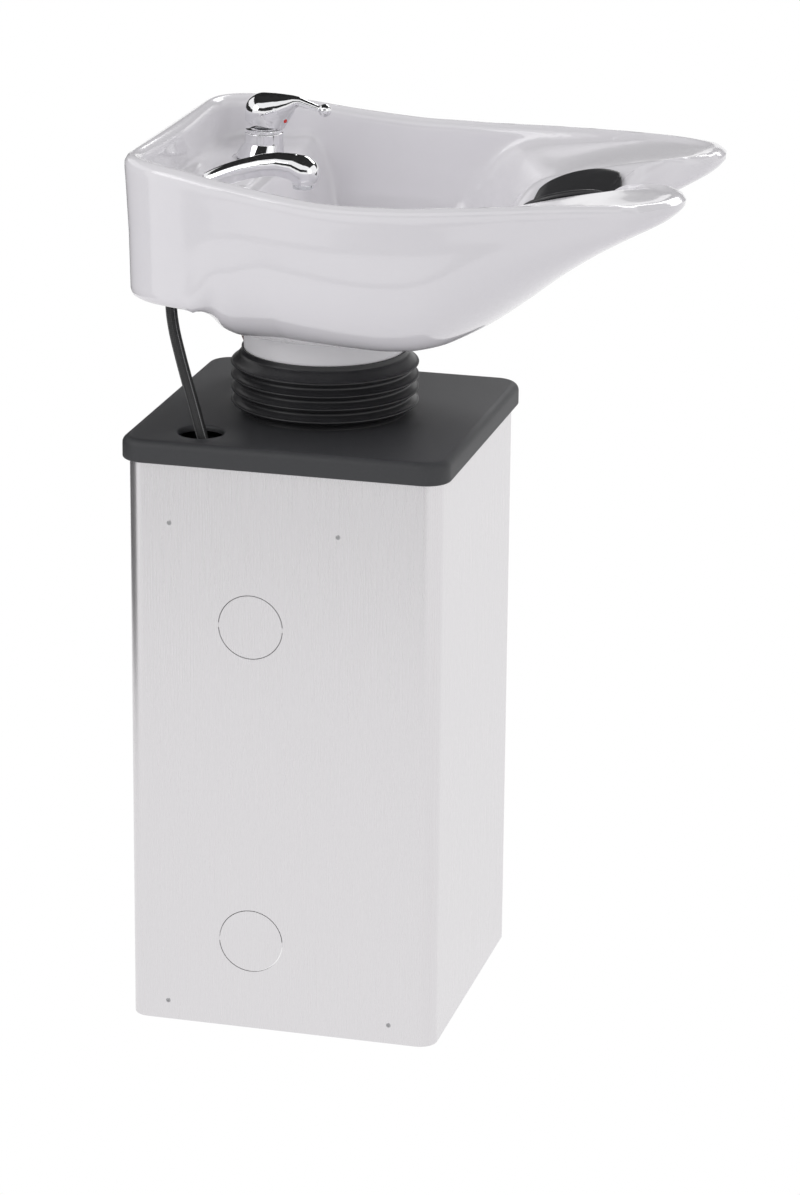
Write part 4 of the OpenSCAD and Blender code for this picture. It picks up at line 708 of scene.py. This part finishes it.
def cutter(name, kind, place, size, vertices=96):
    if kind == "box":
        bpy.ops.mesh.primitive_cube_add(size=1, location=place)
        obj = added(name)
        obj.scale = size
    else:
        bpy.ops.mesh.primitive_cylinder_add(vertices=vertices, radius=size[0], depth=size[1],
            location=place)
        obj = added(name)
    settle(obj)
    return obj


def cut_away(obj, *cutters):
    for c in cutters:
        m = obj.modifiers.new("cut", "BOOLEAN")
        m.operation = "DIFFERENCE"
        m.solver = "EXACT"
        m.object = c
        apply_modifiers(obj)
        bpy.data.objects.remove(c)


MIXER_X, MIXER_Y = -99, 100
HOLDER_X, HOLDER_Y = -130, -100
# Hollows under and holes through the tap deck
POCKET_X, POCKET_LEN, POCKET_W, POCKET_BELOW = -137.25, 62.5, 296, 20
STEP_X, STEP_LEN, STEP_Z = -95, 42, 840
BORE_Z, BORE_H, MIXER_BORE_R, HOLDER_BORE_R = 920, 40, 17.5, 17
SPOT_H, MIXER_SPOT_R, MIXER_SPOT_BACK, HOLDER_SPOT_R = 16, 31, 4.5, 23.5


def add_bowl():
    columns = np.array([rim_column(p) for p in rim_line()])*MM
    n = len(columns)
    faces = []
    for j in range(n):
        k = (j + 1) % n
        for i in range(BOWL_RINGS):
            h = (i + 1) % BOWL_RINGS
            faces.append((j*BOWL_RINGS + i, k*BOWL_RINGS + i, k*BOWL_RINGS + h, j*BOWL_RINGS + h))
    bowl = mesh_piece("bowl_glazed", columns.reshape(-1, 3), faces)
    normals_out(bowl)
    under = DECK_Z - DECK_T
    depth = under - BELLY_Z + POCKET_BELOW
    pocket = cutter("pocket", "box", Vector((POCKET_X, 0, under - depth/2))*MM,
        Vector((POCKET_LEN, POCKET_W, depth))*MM)
    step = cutter("step", "box", Vector((STEP_X, 0, (STEP_Z + under)/2))*MM,
        Vector((STEP_LEN, POCKET_W, under - STEP_Z))*MM)
    bore = cutter("mixer_bore", "round", Vector((MIXER_X, MIXER_Y, BORE_Z))*MM,
        (MIXER_BORE_R*MM, BORE_H*MM))
    face = cutter("mixer_face", "round", Vector((MIXER_X - MIXER_SPOT_BACK, MIXER_Y,
        DECK_Z + SPOT_H/2))*MM, (MIXER_SPOT_R*MM, SPOT_H*MM))
    hole = cutter("holder_bore", "round", Vector((HOLDER_X, HOLDER_Y, BORE_Z))*MM,
        (HOLDER_BORE_R*MM, BORE_H*MM))
    seat = cutter("holder_face", "round", Vector((HOLDER_X, HOLDER_Y, DECK_Z + SPOT_H/2))*MM,
        (HOLDER_SPOT_R*MM, SPOT_H*MM))
    cut_away(bowl, pocket, step, bore, face, hole, seat)
    smooth(bowl, 42)
    finished(bowl, FINISHES["glazed_ceramic"], "bowl")


add_bowl()


# Neck rest: a crowned cushion in the notch, on the model's own outline
REST_REAR_SHARE, REST_FRONT_SHARE, REST_SIDE_SHARE = 0.662, 0.844, 0.82
REST_MID_X = BOWL_LEN*(REST_REAR_SHARE + REST_FRONT_SHARE)/2 - BOWL_REAR
REST_HALF_X = BOWL_LEN*(REST_FRONT_SHARE - REST_REAR_SHARE)/2
REST_HALF_Y = GROOVE_HALF_W*REST_SIDE_SHARE
REST_CORNER = 0.34
# Share of the rim's width before it where the rest starts to rise, and over which it rises
REST_RISE_START, REST_RISE_SPAN = 0.3, 0.5
REST_T, REST_EDGE_T, REST_FIT = 12.0, 2.0, 2.9
REST_CELLS = 72


def add_neck_rest():
    rim = rim_line()
    turns = np.abs(np.degrees(np.arctan2(rim[:, 1], rim[:, 0])))
    order = np.argsort(turns)
    reach = np.hypot(rim[:, 0], rim[:, 1])[order]
    tops, turns = rim[order, 2], turns[order]
    s, t = np.meshgrid(np.linspace(-1, 1, REST_CELLS + 1), np.linspace(-1, 1, REST_CELLS + 1),
        indexing="ij")
    x = REST_MID_X + REST_HALF_X*s*np.sqrt(1 - REST_CORNER*t*t)
    y = REST_HALF_Y*t*np.sqrt(1 - REST_CORNER*s*s)
    turn = np.abs(np.degrees(np.arctan2(y, x)))
    far = np.interp(turn, turns, reach) - RIM_W
    r = np.hypot(x, y)
    past = np.clip((r - far)/RIM_W + REST_RISE_START, 0, None)/REST_RISE_SPAN
    low = inner_z(x, y, r/far, np.interp(turn, turns, tops)) + REST_FIT
    low = low + rim_dip(x)*np.sin(math.pi/2*np.minimum(1, past))
    swell = np.sqrt(np.maximum(0, 1 - np.abs(s)**3))*np.sqrt(np.maximum(0, 1 - np.abs(t)**3))
    high = low + REST_EDGE_T + (REST_T - REST_EDGE_T)*swell
    points = np.concatenate([np.stack([x, y, z], -1).reshape(-1, 3) for z in (low, high)])*MM
    row, sheet = REST_CELLS + 1, (REST_CELLS + 1)**2
    faces = []
    for i in range(REST_CELLS):
        for j in range(REST_CELLS):
            a = i*row + j
            faces += [(a, a + 1, a + row + 1, a + row),
                (a + sheet, a + row + sheet, a + row + 1 + sheet, a + 1 + sheet)]
    edge = [i*row for i in range(REST_CELLS)] + [REST_CELLS*row + j for j in range(REST_CELLS)]
    edge += [i*row + REST_CELLS for i in range(REST_CELLS, 0, -1)] + list(range(REST_CELLS, 0, -1))
    faces += [(a, b, b + sheet, a + sheet) for a, b in zip(edge, edge[1:] + edge[:1])]
    rest = mesh_piece("neck_cushion", points, faces)
    normals_out(rest)
    with_modifier(rest, "BEVEL", width=0.6*MM, segments=3, limit_method="ANGLE",
        angle_limit=math.radians(50))
    smooth(rest, 60)
    finished(rest, FINISHES["soft_black"], "neck_rest")


add_neck_rest()


# Radius that stands for the axis itself in a profile
AXIS_R = 0.01


def revolved(name, profile, sides=160):
    """A closed profile of radius and height, turned round the upright axis."""
    p = np.array(profile, float)*MM
    n = len(p)
    turn = np.arange(sides)*math.tau/sides
    points = np.stack([np.outer(np.cos(turn), p[:, 0]), np.outer(np.sin(turn), p[:, 0]),
        np.tile(p[:, 1], (sides, 1))], -1).reshape(-1, 3)
    faces = []
    for j in range(sides):
        k = (j + 1) % sides
        for i in range(n):
            h = (i + 1) % n
            faces.append((j*n + i, k*n + i, k*n + h, j*n + h))
    obj = mesh_piece(name, points, faces)
    normals_out(obj)
    return obj


# Bellows: the folds' crests are thin rounded lips, and the valleys between them are wide
CREST_Z = (686.3, 700.6, 714.9, 729.2)
CREST_R, ROOT_R, FLANK_R, NECK_R, RUBBER_T = 103.5, 95.0, 98.5, 91.9, 1.8
# Heights from a crest to its flanks, from a valley to its flanks, and from a crest to a valley
CREST_FLANK, VALLEY_FLANK, CREST_TO_VALLEY = 3.6, 3.6, 7.15
# Across a crest and a valley: distance in from the crest or out from the root, height
CREST_SHAPE = ((2.2, -1.5), (0.5, -1.0), (0, 0), (0.5, 1.0), (2.2, 1.5))
VALLEY_SHAPE = ((0.7, -1.5), (0.2, 0), (0.7, 1.5))
FOOT_SHAPE = [(92.3, 675), (92.3, 676.5), (93.3, 679), (FLANK_R, 683.2)]
NECK_SHAPE = [(98.6, 733.2), (94.4, 738.6), (NECK_R, 741.2), (NECK_R, 745.8), (91.5, 746.2)]


def add_bellows():
    line = list(FOOT_SHAPE)
    for z in CREST_Z:
        line += [(CREST_R - inward, z + up) for inward, up in CREST_SHAPE]
        if z < CREST_Z[-1]:
            mid = z + CREST_TO_VALLEY
            line.append((FLANK_R, z + CREST_FLANK))
            line += [(ROOT_R + out, mid + up) for out, up in VALLEY_SHAPE]
            line.append((FLANK_R, mid + VALLEY_FLANK))
    line += NECK_SHAPE
    outer = smooth_path(np.array([(r, z, 0) for r, z in line]), steps=4)[:, :2]
    inner = [(max(r - RUBBER_T, NECK_R - RUBBER_T), z) for r, z in outer[::-1]]
    bellows = revolved("bellows_rubber", [tuple(p) for p in outer] + inner, 200)
    smooth(bellows, 60)
    finished(bellows, FINISHES["black_rubber"], "bellows", ride=False)
    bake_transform(bellows)


add_bellows()


# Black top: a rounded slab with soft edges and rolled lips round its hose holes
CASING_TOP, CAP_T, CAP_HALF, CAP_CORNER = 650.0, 25.0, 183.0, 28.0
CAP_EDGE_R, CAP_LOWER_R, CAP_SKIN, CAP_BORDER = 9.0, 2.0, 6.0, 24.0
COLUMN_HOLE_R, HOSE_HOLE_R, HOSE_HOLE_X, HOSE_HOLE_Y = 86.0, 24.6, 102.7, 130.4
HOLE_LIP_R = 3.5
# How far the cutters run past the top's lower and upper faces, and the hole cutters' height
CAP_CUT_BELOW, CAP_CUT_ABOVE, HOLE_CUT_H = 10, 5, 40


def rounded_ring(inset, z, steps=14):
    r = max(CAP_CORNER - inset, 1)
    side = CAP_HALF - inset - r
    points = []
    for k, (sx, sy) in enumerate(((1, 1), (-1, 1), (-1, -1), (1, -1))):
        for a in np.linspace(k*math.pi/2, (k + 1)*math.pi/2, steps):
            points.append((sx*side + r*math.cos(a), sy*side + r*math.sin(a), z))
    return points


def add_cap():
    profile = [(CAP_LOWER_R*(1 - math.sin(a)), CAP_LOWER_R*(1 - math.cos(a)))
        for a in np.linspace(0, math.pi/2, 5)]
    profile += [(CAP_EDGE_R*(1 - math.cos(a)), CAP_T - CAP_EDGE_R*(1 - math.sin(a)))
        for a in np.linspace(0, math.pi/2, 12)]
    rings = [rounded_ring(inset, CASING_TOP + z) for inset, z in profile]
    n = len(rings[0])
    points = np.array([p for ring in rings for p in ring])*MM
    faces = [(k*n + j, k*n + (j + 1) % n, (k + 1)*n + (j + 1) % n, (k + 1)*n + j)
        for k in range(len(rings) - 1) for j in range(n)]
    faces += [tuple(range(n))[::-1], tuple((len(rings) - 1)*n + j for j in range(n))]
    cap = mesh_piece("black_top", points, faces)
    normals_out(cap)
    hollow = 2*(CAP_HALF - CAP_BORDER)
    depth = CAP_T - CAP_SKIN + CAP_CUT_BELOW
    cuts = [cutter("hollow", "box", Vector((0, 0, CASING_TOP - CAP_CUT_BELOW + depth/2))*MM,
        Vector((hollow, hollow, depth))*MM)]
    cuts.append(cutter("column", "round", Vector((0, 0, CASING_TOP + CAP_T/2))*MM,
        (COLUMN_HOLE_R*MM, HOLE_CUT_H*MM), 180))
    top = CASING_TOP + CAP_T
    lip = [(HOSE_HOLE_R + HOLE_LIP_R*(1 - math.cos(a)), top - HOLE_LIP_R*(1 - math.sin(a)))
        for a in np.linspace(0, math.pi/2, 9)]
    for side in (-1, 1):
        hole = revolved("hole", [(AXIS_R, top - HOLE_CUT_H), (HOSE_HOLE_R, top - HOLE_CUT_H)]
            + lip + [(HOSE_HOLE_R + HOLE_LIP_R, top + CAP_CUT_ABOVE), (AXIS_R, top + CAP_CUT_ABOVE)], 96)
        hole.location = (-HOSE_HOLE_X*MM, side*HOSE_HOLE_Y*MM, 0)
        settle(hole)
        cuts.append(hole)
    cut_away(cap, *cuts)
    smooth(cap, 40)
    finished(cap, FINISHES["black_top"], "cap")


add_cap()


# Casing screws: domed heads with a cross recess, on both faces
SCREWS = [(-125.7, 583), (63.4, 583), (-130.9, 21.9), (124.1, 21.9)]
SCREW_HEAD_R, SCREW_HEAD_H, SCREW_R, SCREW_LEN, FACE_Y = 2.6, 1.0, 1.6, 9.0, 175.0
RECESS_LEN, RECESS_W, RECESS_H = 3.0, 0.6, 1.2
# Each screw is left at its own turn, in radians for each mm of its place
SCREW_TURN = 0.3


def add_screws():
    dome = [(SCREW_HEAD_R*math.sin(a), SCREW_HEAD_H*math.cos(a)) for a in np.linspace(0, math.pi/2, 8)]
    dome[0] = (AXIS_R, SCREW_HEAD_H)
    screw = revolved("screw", dome + [(SCREW_R, 0), (SCREW_R, -SCREW_LEN), (AXIS_R, -SCREW_LEN)], 24)
    for size in ((RECESS_LEN, RECESS_W), (RECESS_W, RECESS_LEN)):
        cut_away(screw, cutter("recess", "box", Vector((0, 0, SCREW_HEAD_H))*MM,
            Vector((*size, RECESS_H))*MM))
    copies = []
    for side in (-1, 1):
        for x, z in SCREWS:
            c = screw.copy()
            c.data = screw.data.copy()
            scene.collection.objects.link(c)
            c.rotation_euler = (-side*math.pi/2, SCREW_TURN*x, 0)
            c.location = (x*MM, side*FACE_Y*MM, z*MM)
            settle(c)
            copies.append(c)
    bpy.data.objects.remove(screw)
    only(*copies)
    bpy.ops.object.join()
    heads = added("domed_screws")
    smooth(heads, 40)
    finished(heads, FINISHES["screw_steel"], "casing_screws")


add_screws()


# Chrome castings: solids with their corners rounded off
CASTING_GRID = 0.7
SWOOP_GRID = 0.6


def recast(obj, grid, rounds):
    """Remeshes a piece on an even grid and rounds its corners off."""
    with_modifier(obj, "REMESH", mode="VOXEL", voxel_size=grid*MM)
    with_modifier(obj, "SMOOTH", factor=0.5, iterations=rounds)
    only(obj)
    bpy.ops.object.shade_smooth()
    return obj


def add_casting(node, name, rounds):
    """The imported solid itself, recast."""
    obj = recast(node_copy(node, name), CASTING_GRID, rounds)
    return finished(obj, FINISHES[slot_of_node(node)], node)


add_casting("mixer_body", "mixer_cast", 4)
add_casting("spray_holder", "holder_cast", 3)


def ball(place, radius):
    bpy.ops.mesh.primitive_uv_sphere_add(segments=48, ring_count=24, radius=radius*MM,
        location=Vector(place)*MM)
    obj = added("ball")
    settle(obj)
    return obj


def hulled(*balls):
    """The skin stretched over a few balls."""
    only(*balls)
    bpy.ops.object.join()
    obj = added("hull")
    bpy.ops.object.mode_set(mode="EDIT")
    bpy.ops.mesh.select_all(action="SELECT")
    bpy.ops.mesh.convex_hull()
    bpy.ops.object.mode_set(mode="OBJECT")
    return obj


def swept_hulls(line):
    """Hulls that join each ball of a line to the next."""
    return [hulled(ball(*a), ball(*b)) for a, b in zip(line, line[1:])]


def cast_together(name, pieces, rounds):
    only(*pieces)
    bpy.ops.object.join()
    return recast(added(name), SWOOP_GRID, rounds)


# The lever's swoop in its own upright plane: place ahead of the mixer's axis, height, radius
LEVER_LINE = [(0, 980.5, 21.5), (12, 984.5, 17.5), (22, 988.5, 13.0), (32, 993, 7.8), (40, 994, 5.4),
    (47, 992, 4.8), (60, 988, 4.0), (69, 986, 3.6)]
LEVER_WEB = [[(14, 966, 9.5), (29, 985, 6.5)], [(6, 966, 16), (12, 980, 16)],
    [(-3, 972, 18.5), (3, 974, 19)]]
LEVER_BALL = (70, 986, 7.3)
# The flat underside of the lever, over the notched ring
LEVER_CUT_X, LEVER_CUT_Z, LEVER_CUT_TILT, LEVER_CUT_SIZE = 22.0, 963.3, 10.93, 200.0
LEVER_NECK = [(AXIS_R, 963), (4.6, 963), (5.2, 963.6), (8.5, 975), (AXIS_R, 975)]
# The red drop in the side of the web: place from the mixer's axis, height and radius
RED_DROP = [((25.2, -4.6, 972.5), 2.6), ((26.6, -4.0, 977.5), 1.2)]


def at_mixer(balls):
    """A lever line's balls in the part's own frame, as place and radius."""
    return [((MIXER_X + ahead, MIXER_Y, height), radius) for ahead, height, radius in balls]


def add_lever():
    pieces = swept_hulls(at_mixer(LEVER_LINE))
    for web in LEVER_WEB:
        pieces += swept_hulls(at_mixer(web))
    pieces += [ball(*b) for b in at_mixer([LEVER_BALL])]
    lever = cast_together("lever_cast", pieces, 10)
    size = LEVER_CUT_SIZE*MM
    bpy.ops.mesh.primitive_cube_add(size=size, location=(0, 0, -size/2))
    under = added("under")
    settle(under)
    under.rotation_euler = (0, math.radians(LEVER_CUT_TILT), 0)
    under.location = ((MIXER_X + LEVER_CUT_X)*MM, MIXER_Y*MM, LEVER_CUT_Z*MM)
    settle(under)
    cut_away(lever, under)
    smooth(lever, 50)
    finished(lever, FINISHES["chrome_plate"], "mixer_lever")
    stem = node_copy("lever_stem", "lever_neck")
    neck = revolved("neck", LEVER_NECK, 64)
    neck.location = (MIXER_X*MM, MIXER_Y*MM, 0)
    settle(neck)
    only(stem, neck)
    bpy.ops.object.join()
    smooth(stem, 35)
    finished(stem, FINISHES["chrome_plate"], "lever_stem")


add_lever()


# The spray's head swells over its nozzle: place along the handle, height, radius
SPRAY_Y = -100
HEAD_LINE = [(-60, 961.7, 11.5), (-42, 966.4, 12.1), (-25, 968.6, 12.9), (-8, 967.0, 14.4),
    (4, 961.8, 16.2)]


def add_spray():
    spray = node_copy("spray_handle", "spray_cast")
    head = swept_hulls([((x, SPRAY_Y, height), radius) for x, height, radius in HEAD_LINE])
    spray = cast_together("spray_cast", [spray, *head], 16)
    finished(spray, FINISHES["chrome_plate"], "spray_handle")


add_spray()


SHARP_EDGE = math.radians(38)


def add_turned(node, name, width):
    """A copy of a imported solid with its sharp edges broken."""
    obj = node_copy(node, name)
    with_modifier(obj, "BEVEL", width=width*MM, segments=2, limit_method="ANGLE",
        angle_limit=SHARP_EDGE)
    smooth(obj, 35)
    return finished(obj, FINISHES[slot_of_node(node)], node)


for node, name, width in (("cartridge_nut", "notched_ring", 0.25),
        ("spray_nozzle", "nozzle_face", 0.4), ("hose_nut", "hose_collar", 0.7),
        ("waste_flange", "waste_rim", 0.4), ("waste_strainer", "strainer_plate", 0.3),
        ("mixer_gasket", "mixer_seal", 0.3), ("collar", "white_sleeve", 0.5)):
    add_turned(node, name, width)


def add_sheet(node, name):
    """A copy of a packed sheet whose flat faces stay flat right up to their edges."""
    obj = node_copy(node, name)
    with_modifier(obj, "DECIMATE", decimate_type="DISSOLVE", angle_limit=math.radians(0.5))
    smooth(obj, 30)
    with_modifier(obj, "WEIGHTED_NORMAL", keep_sharp=True, weight=100)
    return finished(obj, FINISHES[slot_of_node(node)], node)


def add_red_mark():
    """A red drop let into the side of the lever's web."""
    drop = hulled(*(ball((MIXER_X + p[0], MIXER_Y + p[1], p[2]), radius) for p, radius in RED_DROP))
    smooth(drop, 60)
    finished(drop, FINISHES["red_plastic"], "index_button")


add_red_mark()
add_sheet("casing", "brushed_wrap")
add_sheet("knockout_discs", "knockouts")


# The hose's lead inside the holder
MOUTH = np.array((-112.5, -100, 938.2))
LEAD_BEND_R, SPRAY_SLOPE, HOSE_NUT_LEN = 50.0, 29.0, 12.0


def add_lead():
    slope = math.radians(SPRAY_SLOPE)
    centre = MOUTH + LEAD_BEND_R*np.array((math.sin(slope), 0, -math.cos(slope)))
    line = [centre + LEAD_BEND_R*np.array((-math.sin(a), 0, math.cos(a)))
        for a in np.linspace(math.pi/2, slope, 16)]
    line.append(MOUTH + HOSE_NUT_LEN*np.array((math.cos(slope), 0, math.sin(slope))))
    lead = hose_piece("hose_lead_sleeve", np.array(line)*MM, SPRAY_HOSE_R, 2*MM)
    finished(lead, FINISHES["black_braid"], "hose_lead", ride=False)
    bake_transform(lead)


add_lead()

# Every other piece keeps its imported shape
stood_for = {"drain_hose", "spray_hose", "hot_supply_hose", "cold_supply_hose", "bowl",
    "neck_rest", "bellows", "cap", "casing_screws", "mixer_lever", "mixer_body", "spray_handle",
    "spray_holder", "cartridge_nut", "index_button", "spray_nozzle", "hose_nut", "waste_flange",
    "waste_strainer", "mixer_gasket", "collar", "casing", "knockout_discs", "hose_lead",
    "lever_stem"}
for node, obj in frame["nodes"].items():
    if node in stood_for:
        continue
    material = FINISHES[slot_of_node(node)]
    if not obj.material_slots:
        obj.data.materials.append(material)
    for slot in obj.material_slots:
        slot.material = material


# The room: a white floor and backdrop, soft lamps, and dark boards that the chrome mirrors
def stage_plane(name, place, turn, size, material):
    bpy.ops.mesh.primitive_plane_add(size=1, location=place, rotation=turn)
    obj = added(name)
    obj.scale = (size[0], size[1], 1)
    settle(obj)
    obj.data.materials.append(material)
    return obj


ROOM_LEVEL = 0.66
FLOOR_SIZE, FLOOR_Z = 16, -0.0005
# Name, place, the place it aims at, size and power
LAMPS = [("key", (-1.6, -1.7, 2.1), (0, 0, 0.8), (1.4, 1.0), 13),
    ("fill", (2.6, -1.6, 1.8), (0, 0, 0.6), (1.4, 1.8), 4),
    ("rim", (0.6, 2.4, 2.6), (0, 0, 0.9), (1.8, 0.9), 26)]
# Dark boards that only reflections see: name, place, turn and size
CARDS = [("back_card", (0, 3.2, 2.8), (math.pi/2, 0, 0), (7, 2.6)),
    ("top_card", (0, 0.8, 4.0), (0, 0, 0), (7, 4.8)),
    ("front_card", (0, -6.2, 3.5), (math.pi/2, 0, 0), (9, 2.2)),
    ("left_card", (-1.35, 0.9, 0.65), (0, math.pi/2, 0), (1.3, 3.2)),
    ("far_strip", (-0.5, -2.3, 0.004), (0, 0, 0), (3.0, 0.4))]


def shown_to(tree):
    """1 for the rays that see the white background: the camera's, mirrors' and glass's."""
    path = add_node(tree, "LightPath")
    seen = maths(tree, "MAXIMUM", path.outputs["Is Camera Ray"], path.outputs["Is Glossy Ray"])
    return maths(tree, "MAXIMUM", seen, path.outputs["Is Transmission Ray"])


def white_to_camera():
    """Pure white where the camera or a mirror sees it, and pale matt paint for everything else."""
    material = bpy.data.materials.new("white_room")
    material.use_nodes = True
    tree = material.node_tree
    shader = tree.nodes["Principled BSDF"]
    shader.inputs["Roughness"].default_value = 0.8
    shader.inputs["Base Color"].default_value = (0.86, 0.85, 0.87, 1)
    glow = add_node(tree, "Emission", {"Color": (1, 1, 1, 1), "Strength": 1.0})
    mix = add_node(tree, "MixShader")
    tree.links.new(shown_to(tree), mix.inputs[0])
    tree.links.new(shader.outputs[0], mix.inputs[1])
    tree.links.new(glow.outputs[0], mix.inputs[2])
    tree.links.new(mix.outputs[0], tree.nodes["Material Output"].inputs[0])
    return material


def add_lamp(name, place, aim, size, power):
    data = bpy.data.lights.new(name, "AREA")
    data.shape = "RECTANGLE"
    data.size, data.size_y = size
    data.energy = power
    lamp = bpy.data.objects.new(name, data)
    scene.collection.objects.link(lamp)
    lamp.location = place
    lamp.rotation_euler = (Vector(aim) - Vector(place)).to_track_quat("-Z", "Y").to_euler()


def dark_card():
    material = bpy.data.materials.new("dark_card")
    material.use_nodes = True
    shader = material.node_tree.nodes["Principled BSDF"]
    shader.inputs["Base Color"].default_value = (0.02, 0.02, 0.02, 1)
    shader.inputs["Roughness"].default_value = 0.9
    return material


def add_room():
    card = dark_card()
    for name, place, turn, size in CARDS:
        board = stage_plane(name, place, turn, size, card)
        board.visible_camera = False
        board.visible_diffuse = False
        board.visible_shadow = False
    stage_plane("floor", (0, 0, FLOOR_Z), (0, 0, 0), (FLOOR_SIZE, FLOOR_SIZE), white_to_camera())
    world = bpy.data.worlds.new("room")
    scene.world = world
    world.use_nodes = True
    tree = world.node_tree
    back = tree.nodes["Background"]
    seen = shown_to(tree)
    white = add_node(tree, "Background", {"Color": (1, 1, 1, 1), "Strength": 1.0})
    back.inputs["Color"].default_value = (1, 1, 1, 1)
    back.inputs["Strength"].default_value = ROOM_LEVEL
    mix = add_node(tree, "MixShader")
    tree.links.new(seen, mix.inputs[0])
    tree.links.new(back.outputs[0], mix.inputs[1])
    tree.links.new(white.outputs[0], mix.inputs[2])
    tree.links.new(mix.outputs[0], tree.nodes["World Output"].inputs[0])
    for lamp in LAMPS:
        add_lamp(*lamp)
    scene.view_settings.view_transform = "Standard"


add_room()
